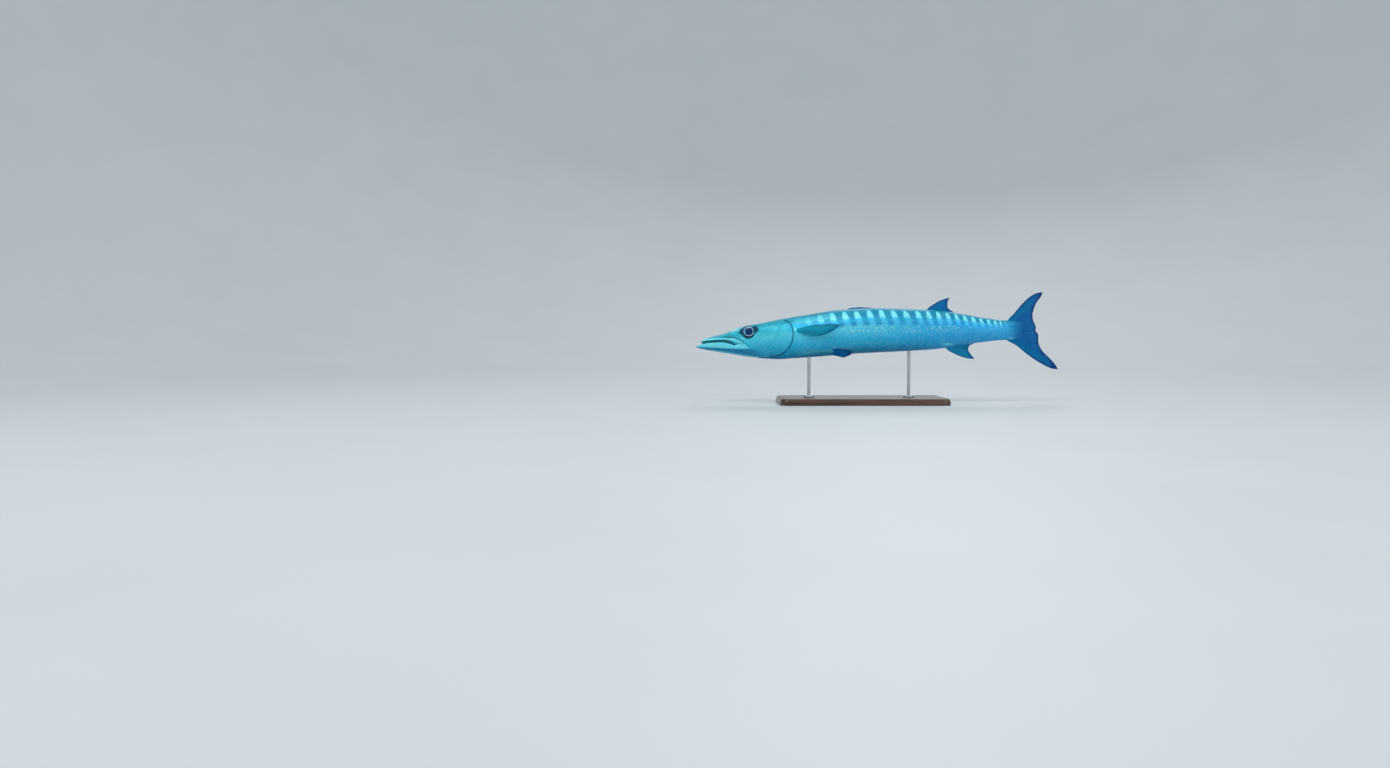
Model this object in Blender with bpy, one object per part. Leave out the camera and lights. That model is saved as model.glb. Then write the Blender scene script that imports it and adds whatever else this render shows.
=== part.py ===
"""A blackfin barracuda, life size, swimming level and held on a display stand by two short rods.

The fish is drawn in its own frame: s runs from the tip of the lower jaw to the tail, h is the height
over the long axis, and y is the distance from its middle plane. The head points along -X.
"""

import math

import bmesh
import bpy
import numpy as np

# Sizes in metres
GAP = 0.0003
JAW_TIP_X = -0.455
AXIS_HEIGHT = 0.200

# How the body sways sideways along its length as it swims
SWAY = ((0.0, 0.004), (0.25, 0.0), (0.50, -0.004), (0.75, 0.006), (0.90, 0.026), (1.02, 0.052))

# Where the flesh is divided: the start and end of each length by s, and the step of its sections
FLESH = {
    "head": (0.0863, 0.2685, 0.0122),
    "trunk_front": (0.2688, 0.4300, 0.0200),
    "trunk_middle": (0.4303, 0.6000, 0.0200),
    "trunk_rear": (0.6003, 0.7650, 0.0200),
    "tail_stalk": (0.7653, 0.8850, 0.0120),
}
SNOUT_END = FLESH["head"][0] - GAP
RING_SIDES = 28
JAW_SIDES = 20

# Finishes: colour, roughness and metallic value
SKIN = ((0.35, 0.68, 0.74), 0.32, 0.25)
DARK_FIN = ((0.02, 0.10, 0.20), 0.45, 0.0)
GREEN_FIN = ((0.03, 0.26, 0.28), 0.45, 0.0)
WET_EYE = ((0.01, 0.03, 0.06), 0.08, 0.0)
STAINED_BOARD = ((0.10, 0.07, 0.05), 0.40, 0.0)
STEEL = ((0.60, 0.60, 0.62), 0.25, 1.0)

# The eye: its middle, its radius across the head's side, its half thickness and how deep it sits
EYE_AT = (0.1414, -0.0024)
EYE_RADIUS = 0.0160
EYE_HALF_DEPTH = 0.0074
EYE_SUNK = 0.0031
# The low mound of skin round the eye: how far each point lies from the eye's middle and over the skin
ORBIT_MOUND = (
    (0.0136, 0.0000), (0.0150, 0.0011), (0.0164, 0.0004), (0.0192, -0.0050), (0.0192, -0.0080),
    (0.0136, -0.0080),
)

NOSTRILS = ((0.1145, -0.0050), (0.1190, -0.0025))
NOSTRIL_RADIUS = 0.0013
NOSTRIL_DEPTH = 0.0020

# The fleshy lips: their thickness, and where each starts and ends and its angle on its jaw's section
LIP_RADIUS = 0.0013
UPPER_LIP = (0.016, SNOUT_END, -14)
LOWER_LIP = (0.006, 0.104, 24)

PLATE_ROOT = 0.005
MAXILLA_RISE = 0.0014
GILL_COVER_RISE = 0.0034
GILL_COVER_FRONT_RISE = 0.0012

# Half thicknesses of a fin's rays, and how much of it the membrane between them has
TAIL_RAY = (0.0030, 0.0007)
MEDIAN_RAY = (0.0018, 0.0005)
PAIRED_RAY = (0.0013, 0.0005)
FOLDED_SPINE = (0.0016, 0.0009)
MEMBRANE = 0.62
FORK_HEIGHT = 0.0012
# How far the middle of a paired fin stands off the flank: by s for the pectoral, and at the root and
# the tip for the pelvic
PECTORAL_SPLAY = ((0.264, -0.0060), (0.273, 0.0004), (0.386, 0.0300))
PELVIC_SPLAY = (-0.0060, 0.0070)

# The stand
ROD_STATIONS = (0.310, 0.585)
ROD_SUNK = 0.012
ROD_RADIUS = 0.0045
FLANGE_RADIUS = 0.0150
FLANGE_HEIGHT = 0.0040
FLANGE_CHAMFER = 0.0012
ROD_FILLET = 0.0030
BASE_LENGTH = 0.460
BASE_WIDTH = 0.190
BASE_HEIGHT = 0.018
BASE_CORNER = 0.022
BASE_CHAMFER = 0.003


def spline(*knots):
    """A smooth curve through (place, value) knots that never passes beyond them between two."""
    place, value = np.array(knots, float).T
    step = np.diff(place)
    slope = np.diff(value) / step
    tangent = np.concatenate([slope[:1], np.zeros(len(place) - 2), slope[-1:]])
    turning = slope[:-1] * slope[1:] > 0
    mean = np.where(turning, slope[:-1] + slope[1:], 1.0)
    tangent[1:-1] = np.where(turning, 2 * slope[:-1] * slope[1:] / mean, 0.0)

    def at(x):
        x = np.clip(x, place[0], place[-1])
        i = np.clip(np.searchsorted(place, x) - 1, 0, len(step) - 1)
        t = (x - place[i]) / step[i]
        rise = t * t * (3 - 2 * t)
        start = t * (1 - t) ** 2 * step[i] * tangent[i]
        end = t * t * (t - 1) * step[i] * tangent[i + 1]
        return value[i] * (1 - rise) + value[i + 1] * rise + start + end

    return at


def path(*points):
    """A smooth curve through points, as a function of the share of its length from 0 to 1."""
    points = np.array(points, float)
    run = np.concatenate([[0], np.cumsum(np.linalg.norm(np.diff(points, axis=0), axis=1))])
    axes = [spline(*zip(run / run[-1], column)) for column in points.T]
    return lambda u: np.stack([axis(u) for axis in axes], axis=-1)


class Form:
    """A long closed form, given by its outline from the side, its half width and its section's shape."""

    def __init__(self, top, bottom, width, level, square_top, square_bottom):
        self.top = spline(*top)
        self.bottom = spline(*bottom)
        self.width = spline(*width)
        self.level = spline(*level)
        self.square_top = spline(*square_top)
        self.square_bottom = spline(*square_bottom)

    def section(self, s, grow=0.0):
        top = self.top(s) + grow
        bottom = self.bottom(s) - grow
        middle = bottom + (top - bottom) * self.level(s)
        return top, bottom, middle, self.width(s) + grow

    def point(self, s, angle, grow=0.0):
        """The point of the section at s where angle is 0 on the +y side and a quarter turn on the back."""
        top, bottom, middle, width = self.section(s, grow)
        up = np.sin(angle) > 0
        power = 2 / np.where(up, self.square_top(s), self.square_bottom(s))
        reach = np.where(up, top - middle, middle - bottom)
        across = np.sign(np.cos(angle)) * np.abs(np.cos(angle)) ** power
        rise = np.sign(np.sin(angle)) * np.abs(np.sin(angle)) ** power
        return np.stack(np.broadcast_arrays(s, width * across, middle + reach * rise), axis=-1)

    def angle(self, s, h):
        """The angle at which the section at s reaches the height h on the +y side."""
        top, bottom, middle, width = self.section(s)
        up = h > middle
        power = np.where(up, self.square_top(s), self.square_bottom(s)) / 2
        share = np.abs(h - middle) / np.where(up, top - middle, middle - bottom)
        return np.where(up, 1, -1) * np.arcsin(np.clip(share, 0, 1) ** power)

    def flank(self, s, h, grow=0.0):
        """The point of the +y side at s and h, moved out from the surface by grow."""
        return self.point(s, self.angle(s, h), grow)


# Back, belly and half width of the whole fish without its lower jaw
BODY = Form(
    top=(
        (0.012, -0.0296), (0.018, -0.0246), (0.026, -0.0214), (0.038, -0.0174), (0.050, -0.0138),
        (0.060, -0.0120), (0.071, -0.0092), (0.082, -0.0056), (0.094, -0.0010), (0.104, 0.0030),
        (0.116, 0.0070), (0.130, 0.0118), (0.142, 0.0152), (0.162, 0.0186), (0.229, 0.0320),
        (0.300, 0.0440), (0.400, 0.0590), (0.506, 0.0634), (0.580, 0.0612), (0.666, 0.0570),
        (0.746, 0.0448), (0.801, 0.0352), (0.840, 0.0302), (0.885, 0.0292),
    ),
    bottom=(
        (0.012, -0.0324), (0.020, -0.0296), (0.040, -0.0268), (0.064, -0.0260), (0.079, -0.0272),
        (0.088, -0.0304), (0.098, -0.0352), (0.106, -0.0400), (0.132, -0.0590), (0.161, -0.0730),
        (0.196, -0.0767), (0.229, -0.0780), (0.266, -0.0755), (0.350, -0.0695), (0.451, -0.0615),
        (0.580, -0.0552), (0.666, -0.0496), (0.746, -0.0372), (0.801, -0.0298), (0.840, -0.0258),
        (0.885, -0.0245),
    ),
    width=(
        (0.012, 0.0020), (0.018, 0.0060), (0.035, 0.0100), (0.060, 0.0135), (0.090, 0.0176),
        (0.118, 0.0215), (0.141, 0.0250), (0.170, 0.0290), (0.210, 0.0330), (0.266, 0.0368),
        (0.330, 0.0398), (0.420, 0.0425), (0.520, 0.0428), (0.620, 0.0398), (0.700, 0.0338),
        (0.780, 0.0245), (0.840, 0.0155), (0.868, 0.0090), (0.885, 0.0036),
    ),
    level=(
        (0.012, 0.30), (0.060, 0.24), (0.083, 0.28), (0.106, 0.34), (0.141, 0.62), (0.180, 0.56),
        (0.300, 0.52), (0.885, 0.50),
    ),
    square_top=(
        (0.012, 2.1), (0.060, 2.4), (0.110, 3.2), (0.141, 4.0), (0.180, 3.0), (0.230, 2.4),
        (0.350, 2.1), (0.885, 2.1),
    ),
    square_bottom=(
        (0.012, 2.0), (0.090, 2.0), (0.118, 3.0), (0.140, 2.4), (0.170, 2.0), (0.350, 2.1),
        (0.885, 2.1),
    ),
)

# The lower jaw, which runs back under the cheek
JAW = Form(
    top=(
        (0.000, -0.0430), (0.004, -0.0408), (0.010, -0.0375), (0.017, -0.0354), (0.028, -0.0338),
        (0.050, -0.0315), (0.066, -0.0303), (0.078, -0.0314), (0.090, -0.0340), (0.106, -0.0384),
        (0.118, -0.0355), (0.129, -0.0335), (0.143, -0.0460), (0.153, -0.0585), (0.163, -0.0690),
    ),
    bottom=(
        (0.000, -0.0444), (0.004, -0.0466), (0.015, -0.0498), (0.049, -0.0565), (0.092, -0.0632),
        (0.132, -0.0698), (0.163, -0.0737),
    ),
    width=(
        (0.000, 0.0010), (0.004, 0.0050), (0.015, 0.0086), (0.049, 0.0128), (0.092, 0.0180),
        (0.106, 0.0190), (0.118, 0.0197), (0.130, 0.0199), (0.143, 0.0192), (0.155, 0.0140),
        (0.163, 0.0060),
    ),
    level=((0.0, 0.55), (0.03, 0.84), (0.12, 0.84), (0.163, 0.72)),
    square_top=((0.0, 2.2), (0.03, 2.8), (0.12, 2.8), (0.163, 2.1)),
    square_bottom=((0.0, 2.0), (0.03, 1.8), (0.163, 1.8)),
)

sway = spline(*SWAY)


def world(points):
    """Points of the fish's frame, as (s, y, h), set in the model's frame."""
    points = np.asarray(points, float)
    s, y, h = points[..., 0], points[..., 1], points[..., 2]
    return np.stack([JAW_TIP_X + s, sway(s) + y, AXIS_HEIGHT + h], axis=-1)


def material(name, colour, roughness, metallic):
    made = bpy.data.materials.new(name)
    made.use_nodes = True
    shader = made.node_tree.nodes["Principled BSDF"]
    shader.inputs["Base Color"].default_value = (*colour, 1.0)
    shader.inputs["Roughness"].default_value = roughness
    shader.inputs["Metallic"].default_value = metallic
    made.diffuse_color = (*colour, 1.0)
    return made


def mesh_object(name, points, faces, finish=None):
    mesh = bpy.data.meshes.new(name)
    mesh.from_pydata([tuple(map(float, p)) for p in points], [], faces)
    mesh.validate()
    turned = bmesh.new()
    turned.from_mesh(mesh)
    bmesh.ops.recalc_face_normals(turned, faces=turned.faces)
    turned.to_mesh(mesh)
    turned.free()
    made = bpy.data.objects.new(name, mesh)
    bpy.context.scene.collection.objects.link(made)
    if finish:
        mesh.materials.append(material(name, *finish))
    return made


def keep_largest(made):
    """Leaves only the object's largest closed surface."""
    mesh = bmesh.new()
    mesh.from_mesh(made.data)
    unseen = set(mesh.faces)
    islands = []
    while unseen:
        island, edge = set(), [unseen.pop()]
        while edge:
            face = edge.pop()
            island.add(face)
            near = {other for side in face.edges for other in side.link_faces} & unseen
            unseen -= near
            edge.extend(near)
        islands.append(island)
    islands.sort(key=lambda faces: sum(face.calc_area() for face in faces))
    for island in islands[:-1]:
        bmesh.ops.delete(mesh, geom=list(island), context="FACES")
    mesh.to_mesh(made.data)
    mesh.free()


def apply_modifiers(made):
    graph = bpy.context.evaluated_depsgraph_get()
    mesh = bpy.data.meshes.new_from_object(made.evaluated_get(graph))
    made.modifiers.clear()
    made.data = mesh


def cut(made, *cutters):
    """Takes the cutters out of made, and removes them."""
    for cutter in cutters:
        away = made.modifiers.new("cut", "BOOLEAN")
        away.operation = "DIFFERENCE"
        away.solver = "EXACT"
        away.object = cutter
    apply_modifiers(made)
    for cutter in cutters:
        bpy.data.objects.remove(cutter)
    keep_largest(made)


def fuse(made, *pieces):
    """Joins the pieces to made as one closed body, and removes them."""
    group = bpy.data.collections.new("pieces")
    for piece in pieces:
        group.objects.link(piece)
    join = made.modifiers.new("join", "BOOLEAN")
    join.operation = "UNION"
    join.solver = "EXACT"
    join.operand_type = "COLLECTION"
    join.collection = group
    apply_modifiers(made)
    for piece in pieces:
        bpy.data.objects.remove(piece)
    bpy.data.collections.remove(group)
    keep_largest(made)


def tube_faces(rings, sides):
    """Triangles round rows of points, each row a closed ring, with a fan over the first and last."""
    faces = []
    for i in range(rings - 1):
        for k in range(sides):
            a, b = i * sides + k, i * sides + (k + 1) % sides
            faces += [(a, b, b + sides), (a, b + sides, a + sides)]
    for ring, pole in ((0, rings * sides), (rings - 1, rings * sides + 1)):
        start = ring * sides
        faces += [(start + k, start + (k + 1) % sides, pole) for k in range(sides)]
    return faces


def loft(name, form, sections, sides, finish=None, grow=0.0):
    """A closed stretch of a form through its sections at some s, with flat ends."""
    angles = np.arange(sides) * 2 * math.pi / sides
    rings = form.point(np.asarray(sections)[:, None], angles[None, :], grow)
    ends = [rings[0].mean(axis=0), rings[-1].mean(axis=0)]
    points = world(np.concatenate([rings.reshape(-1, 3), ends]))
    return mesh_object(name, points, tube_faces(len(sections), sides), finish)


def stations(start, end, step):
    return np.linspace(start, end, round((end - start) / step) + 1)


def snout_stations():
    """Sections that crowd towards the tip of the upper jaw."""
    near_tip = (0.012, 0.0135, 0.018, 0.026)
    return np.concatenate([near_tip, stations(0.036, SNOUT_END, 0.010)])


def jaw_stations():
    """Sections that crowd towards the tip of the lower jaw and its rear end under the cheek."""
    near_tip = (0.0, 0.0012, 0.004, 0.010, 0.018)
    near_end = (0.134, 0.143, 0.150, 0.157, 0.163)
    return np.concatenate([near_tip, stations(0.030, 0.126, 0.012), near_end])


def flesh_cutter(*names):
    """Some lengths of the body as one cutter, larger all round by the gap that touching pieces keep."""
    sections = np.concatenate([stations(*FLESH[name]) for name in names])
    sections[0] -= GAP
    sections[-1] += GAP
    return loft("cutter", BODY, sections, RING_SIDES, grow=GAP)


def jaw_cutter():
    return loft("cutter", JAW, jaw_stations(), JAW_SIDES, grow=GAP)


def tube(name, line, radius, sides=6):
    """A closed tube of round section along a line of points of the fish's frame."""
    line = np.asarray(line, float)
    along = np.gradient(line, axis=0)
    along /= np.linalg.norm(along, axis=1)[:, None]
    side = np.cross(along, (0, 0, 1.0))
    side /= np.linalg.norm(side, axis=1)[:, None]
    up = np.cross(side, along)
    angles = np.arange(sides) * 2 * math.pi / sides
    turn = np.cos(angles)[None, :, None] * side[:, None] + np.sin(angles)[None, :, None] * up[:, None]
    rings = line[:, None] + np.broadcast_to(radius, len(line))[:, None, None] * turn
    points = world(np.concatenate([rings.reshape(-1, 3), line[:1], line[-1:]]))
    return mesh_object(name, points, tube_faces(len(line), sides))


def lip(form, start, end, degrees, side):
    """The fleshy rim along one side of a jaw, low on the upper jaw and high on the lower one."""
    s = stations(start, end, 0.011)
    angle = np.full_like(s, math.radians(degrees))
    taper = LIP_RADIUS * np.sin(np.linspace(0.15, 0.85, len(s)) * math.pi)
    return tube("lip", form.point(s, angle, -LIP_RADIUS * 0.4) * (1, side, 1), taper)


def slab(name, upper, lower, finish=None):
    """A closed thin body between two grids of points, split into triangles alike on both faces."""
    rows, columns = upper.shape[:2]
    count = rows * columns
    faces = []
    for i in range(rows - 1):
        for k in range(columns - 1):
            a = i * columns + k
            b, c, d = a + 1, a + columns + 1, a + columns
            faces += [(a, b, c), (a, c, d)]
    under = [tuple(count + i for i in face[::-1]) for face in faces]
    rim = list(range(columns))
    rim += [i * columns + columns - 1 for i in range(1, rows)]
    rim += [(rows - 1) * columns + k for k in range(columns - 2, -1, -1)]
    rim += [i * columns for i in range(rows - 2, 0, -1)]
    wall = []
    for a, b in zip(rim, rim[1:] + rim[:1]):
        wall += [(a, a + count, b + count), (a, b + count, b)]
    points = world(np.concatenate([upper.reshape(-1, 3), lower.reshape(-1, 3)]))
    return mesh_object(name, points, faces + under + wall, finish)


def plate(name, front, rear, side, rise, size, finish=None):
    """A thin plate on the flank between two edges drawn as (s, h). It is sunk into the head."""
    rows, columns = size
    ends = []
    for edge in (front, rear):
        s, h = edge(np.linspace(0, 1, rows)).T
        ends.append(np.stack([s, BODY.angle(s, h)], axis=-1)[:, None])
    share = np.linspace(0, 1, columns)[None, :, None]
    s, angle = np.moveaxis(ends[0] * (1 - share) + ends[1] * share, -1, 0)
    outer = BODY.point(s, angle, rise(s)) * (1, side, 1)
    inner = BODY.point(s, angle, -PLATE_ROOT) * (1, side, 1)
    return slab(name, outer, inner, finish)


def maxilla(side):
    """The blade of the upper jaw that lies back over the corner of the mouth."""
    upper = path(
        (0.0890, -0.0205), (0.0960, -0.0176), (0.1060, -0.0180), (0.1170, -0.0220), (0.1275, -0.0290),
    )
    lower = path(
        (0.0890, -0.0235), (0.0960, -0.0280), (0.1080, -0.0330), (0.1220, -0.0355), (0.1290, -0.0335),
    )
    rise = spline((0.0890, MAXILLA_RISE * 0.4), (0.1100, MAXILLA_RISE))
    return plate("maxilla", upper, lower, side, rise, (9, 4))


def gill_cover(name, side, finish):
    """The opercle, a bony plate with a free rear edge over the gill opening."""
    front = path(
        (0.2365, 0.0272), (0.2235, 0.0185), (0.2080, 0.0065), (0.1960, -0.0100), (0.1885, -0.0280),
        (0.1855, -0.0450), (0.1870, -0.0600), (0.1920, -0.0680), (0.1980, -0.0708),
    )
    rear = path(
        (0.2412, 0.0282), (0.2511, 0.0241), (0.2581, 0.0141), (0.2617, 0.0034), (0.2619, -0.0080),
        (0.2605, -0.0203), (0.2581, -0.0311), (0.2540, -0.0396), (0.2467, -0.0508), (0.2362, -0.0600),
        (0.2195, -0.0679), (0.2020, -0.0711),
    )
    rise = spline((0.1850, GILL_COVER_FRONT_RISE), (0.2550, GILL_COVER_RISE))
    made = plate(name, front, rear, side, rise, (15, 8), finish)
    cut(made, flesh_cutter("head"))


def eye_frame(side):
    """The middle of the eye on the skin, and the three directions of a frame whose last looks out."""
    s, h = EYE_AT
    ahead, behind = BODY.flank(s - EYE_RADIUS, h), BODY.flank(s + EYE_RADIUS, h)
    near = EYE_RADIUS * 0.6
    over, under = BODY.flank(s, h + near), BODY.flank(s, h - near)
    out = np.cross(over - under, behind - ahead) * (1, side, 1)
    out *= side * np.sign(out[1]) / np.linalg.norm(out)
    first = np.cross((0, 0, 1.0), out)
    first /= np.linalg.norm(first)
    return BODY.flank(s, h) * (1, side, 1), first, np.cross(out, first), out


def eyeball(name, side, finish=None, grow=0.0):
    """A flattened ball, as a fish's eye is, that stands a little out of its orbit."""
    skin, first, second, out = eye_frame(side)
    middle = skin - out * EYE_SUNK
    rings, sides = 7, 18
    tilt = (np.arange(rings) + 1) * math.pi / (rings + 1)
    turn = np.arange(sides) * 2 * math.pi / sides
    reach = (EYE_RADIUS + grow) * np.sin(tilt)[:, None, None]
    depth = (EYE_HALF_DEPTH + grow) * np.cos(tilt)[:, None, None]
    round_way = np.cos(turn)[None, :, None] * first + np.sin(turn)[None, :, None] * second
    grid = middle + reach * round_way + depth * out
    pole = (EYE_HALF_DEPTH + grow) * out
    points = np.concatenate([grid.reshape(-1, 3), [middle + pole, middle - pole]])
    return mesh_object(name, world(points), tube_faces(rings, sides), finish)


def orbit(side):
    """The ring of skin round the eye, which slopes down to the head."""
    skin, first, second, out = eye_frame(side)
    sides, section = 20, len(ORBIT_MOUND)
    turn = np.arange(sides) * 2 * math.pi / sides
    round_way = np.cos(turn)[:, None] * first + np.sin(turn)[:, None] * second
    radius, height = np.array(ORBIT_MOUND).T
    grid = skin + radius[:, None] * round_way[:, None] + height[:, None] * out
    grid = grid.reshape(-1, 3)
    faces = []
    for i in range(sides):
        for k in range(section):
            a, b = i * section + k, i * section + (k + 1) % section
            c, d = ((i + 1) % sides) * section + k, ((i + 1) % sides) * section + (k + 1) % section
            faces += [(a, b, d), (a, d, c)]
    return mesh_object("orbit", world(grid), faces)


def nostril(side, at):
    """A cutter for one of the two small openings in front of each eye."""
    line = [BODY.flank(*at, grow) * (1, side, 1) for grow in (-NOSTRIL_DEPTH, NOSTRIL_DEPTH)]
    return tube("nostril", line, NOSTRIL_RADIUS, sides=8)


def fin(name, surface, ray, rays, rows, finish, scallop=0.006):
    """A closed fin. surface(t, r) is its middle at the share t across the rays and r along them.

    Rays stand up as ridges in its own surface, with the thinner membrane between them, which the
    free edge cuts back by the share scallop.
    """
    columns = 2 * rays - 1
    t = np.linspace(0, 1, columns)[None, :]
    r = np.linspace(0, 1, rows)[:, None]
    is_ray = (np.arange(columns) % 2 == 0)[None, :]
    pulled = r * (1 - scallop * r * ~is_ray)
    middle = surface(*np.broadcast_arrays(t, pulled))
    across = np.gradient(middle, axis=1)
    along = np.gradient(middle, axis=0)
    normal = np.cross(along, across)
    normal /= np.linalg.norm(normal, axis=-1)[..., None]
    root, tip = ray
    half = (root + (tip - root) * r ** 0.8) * np.where(is_ray, 1.0, MEMBRANE)
    lift = normal * half[..., None]
    return slab(name, middle + lift, middle - lift, finish)


def sail(base, lead, trail, last):
    """A surface between four edges: the root, the leading edge, the free edge and the last ray."""

    def at(t, r):
        t, r = t[..., None], r[..., None]
        t1, r1 = t[..., 0], r[..., 0]
        sides = (1 - t) * lead(r1) + t * last(r1) + (1 - r) * base(t1) + r * trail(t1)
        corners = (1 - t) * (1 - r) * lead(0.0) + t * (1 - r) * last(0.0)
        corners = corners + (1 - t) * r * lead(1.0) + t * r * last(1.0)
        return sides - corners

    return at


def upright(flat):
    """A flat sail of (s, h) stood in the fish's middle plane."""

    def at(t, r):
        place = flat(t, r)
        return np.stack([place[..., 0], np.zeros(place.shape[:-1]), place[..., 1]], axis=-1)

    return at


def median_fin(name, corners, lead, trail, ray, rays, rows, flesh, scallop=0.006):
    """A fin in the middle plane, between its first and last root corners, cut off at the skin."""
    first, end = corners
    flat = sail(path(first, end), path(first, *lead), path(lead[-1], *trail), path(end, trail[-1]))
    made = fin(name, upright(flat), ray, rays, rows, DARK_FIN, scallop)
    cut(made, flesh_cutter(*flesh))


def caudal_fins():
    """The forked tail fin in its two lobes, with the pair of small rounded lobes in its fork."""
    over, under = FORK_HEIGHT + GAP / 2, FORK_HEIGHT - GAP / 2
    median_fin(
        "caudal_fin_upper",
        corners=((0.857, 0.0225), (0.862, over)),
        lead=(
            (0.8680, 0.0366), (0.8790, 0.0470), (0.8950, 0.0655), (0.9120, 0.0832), (0.9300, 0.0972),
            (0.9475, 0.1058), (0.9644, 0.1083),
        ),
        trail=(
            (0.9600, 0.0970), (0.9470, 0.0807), (0.9390, 0.0630), (0.9350, 0.0450), (0.9360, 0.0330),
            (0.9415, 0.0200), (0.9455, 0.0100), (0.9440, over),
        ),
        ray=TAIL_RAY, rays=11, rows=9, flesh=["tail_stalk"],
    )
    median_fin(
        "caudal_fin_lower",
        corners=((0.856, -0.0190), (0.862, under)),
        lead=(
            (0.8640, -0.0280), (0.8760, -0.0334), (0.8880, -0.0400), (0.9148, -0.0604),
            (0.9457, -0.0812), (0.9638, -0.0912), (0.9823, -0.1002), (1.0000, -0.1060), (1.0150, -0.1070),
        ),
        trail=(
            (1.0035, -0.0910), (0.9900, -0.0775), (0.9637, -0.0522), (0.9535, -0.0303),
            (0.9530, -0.0116), (0.9440, under),
        ),
        ray=TAIL_RAY, rays=11, rows=9, flesh=["tail_stalk"],
    )


def second_dorsal_and_anal_fins():
    median_fin(
        "second_dorsal_fin",
        corners=((0.629, 0.0500), (0.700, 0.0450)),
        lead=((0.6352, 0.0612), (0.6486, 0.0709), (0.6655, 0.0814), (0.6810, 0.0876), (0.6964, 0.0920)),
        trail=((0.6908, 0.0789), (0.6905, 0.0685), (0.6965, 0.0595), (0.7065, 0.0535)),
        ray=MEDIAN_RAY, rays=10, rows=6, flesh=["trunk_rear"],
    )
    median_fin(
        "anal_fin",
        corners=((0.684, -0.0400), (0.757, -0.0280)),
        lead=((0.6900, -0.0500), (0.7093, -0.0615), (0.7316, -0.0709), (0.7537, -0.0764), (0.7686, -0.0772)),
        trail=((0.7576, -0.0634), (0.7500, -0.0505), (0.7530, -0.0411), (0.7648, -0.0352)),
        ray=MEDIAN_RAY, rays=10, rows=6, flesh=["trunk_rear", "tail_stalk"],
    )


def first_dorsal_fin():
    """The spiny fin, folded flat into the groove on the back as the fish cruises."""
    median_fin(
        "first_dorsal_fin",
        corners=((0.402, 0.0545), (0.470, 0.0580)),
        lead=((0.4250, 0.0640), (0.4540, 0.0668)),
        trail=((0.4700, 0.0655), (0.4880, 0.0640)),
        ray=FOLDED_SPINE, rays=5, rows=5, flesh=["trunk_front", "trunk_middle"], scallop=0.10,
    )


def pectoral_fin(name, side):
    """The paddle behind the gill cover, which stands away from the flank towards its tip."""
    top, bottom = (0.2648, 0.0056), (0.2672, -0.0026)
    tip, heel = (0.3860, 0.0165), (0.3150, -0.0140)
    lead = path(
        top, (0.2790, 0.0074), (0.2935, 0.0104), (0.3090, 0.0144), (0.3330, 0.0172), (0.3720, 0.0187), tip,
    )
    last = path(bottom, (0.2800, -0.0042), (0.2930, -0.0080), (0.3030, -0.0114), heel)
    trail = path(tip, (0.3780, 0.0085), (0.3640, -0.0010), (0.3480, -0.0082), (0.3310, -0.0126), heel)
    flat = sail(path(top, bottom), lead, trail, last)
    splay = spline(*PECTORAL_SPLAY)

    def surface(t, r):
        place = flat(t, r)
        s, h = place[..., 0], place[..., 1]
        return (BODY.flank(s, h) + splay(s)[..., None] * (0, 1, 0)) * (1, side, 1)

    made = fin(name, surface, PAIRED_RAY, 12, 8, GREEN_FIN)
    cut(made, flesh_cutter("head", "trunk_front"))


def pelvic_fin(name, side):
    """The small fin low on the flank, swept back along the belly."""
    high, low = math.radians(-44), math.radians(-72)
    reach = spline((0.0, 0.066), (0.25, 0.080), (0.60, 0.070), (1.0, 0.042))
    root = spline((0.0, 0.342), (1.0, 0.350))
    spread = spline((0.0, 0.55), (0.65, 1.0), (1.0, 0.87))

    at_root, at_tip = PELVIC_SPLAY

    def surface(t, r):
        angle = (high + low) / 2 + (low - high) * (t - 0.5) * spread(r)
        return BODY.point(root(t) + reach(t) * r, angle, at_root + (at_tip - at_root) * r) * (1, side, 1)

    made = fin(name, surface, PAIRED_RAY, 6, 6, GREEN_FIN)
    cut(made, flesh_cutter("trunk_front", "trunk_middle"))


def turned(name, profile, centre, finish, sides=24):
    """A turned piece on an upright axis, from its (radius, height) profile, bottom to top."""
    angles = np.arange(sides) * 2 * math.pi / sides
    ring = np.stack([np.cos(angles), np.sin(angles)], axis=-1)
    rows = [np.column_stack([centre + radius * ring, np.full(sides, z)]) for radius, z in profile]
    poles = [(*centre, profile[0][1]), (*centre, profile[-1][1])]
    return mesh_object(name, np.concatenate([*rows, poles]), tube_faces(len(profile), sides), finish)


def rod(name, station, flesh):
    """A steel rod with a turned foot, cut at the top to the curve of the belly."""
    centre = np.array([JAW_TIP_X + station, sway(station)])
    foot = BASE_HEIGHT + GAP
    flange_top = foot + FLANGE_HEIGHT
    rod_top = AXIS_HEIGHT + float(BODY.bottom(station)) + ROD_SUNK
    profile = (
        (FLANGE_RADIUS, foot), (FLANGE_RADIUS, flange_top - FLANGE_CHAMFER),
        (FLANGE_RADIUS - FLANGE_CHAMFER, flange_top), (ROD_RADIUS + ROD_FILLET, flange_top),
        (ROD_RADIUS, flange_top + ROD_FILLET), (ROD_RADIUS, rod_top),
    )
    cut(turned(name, profile, centre, STEEL), flesh_cutter(flesh))


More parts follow.
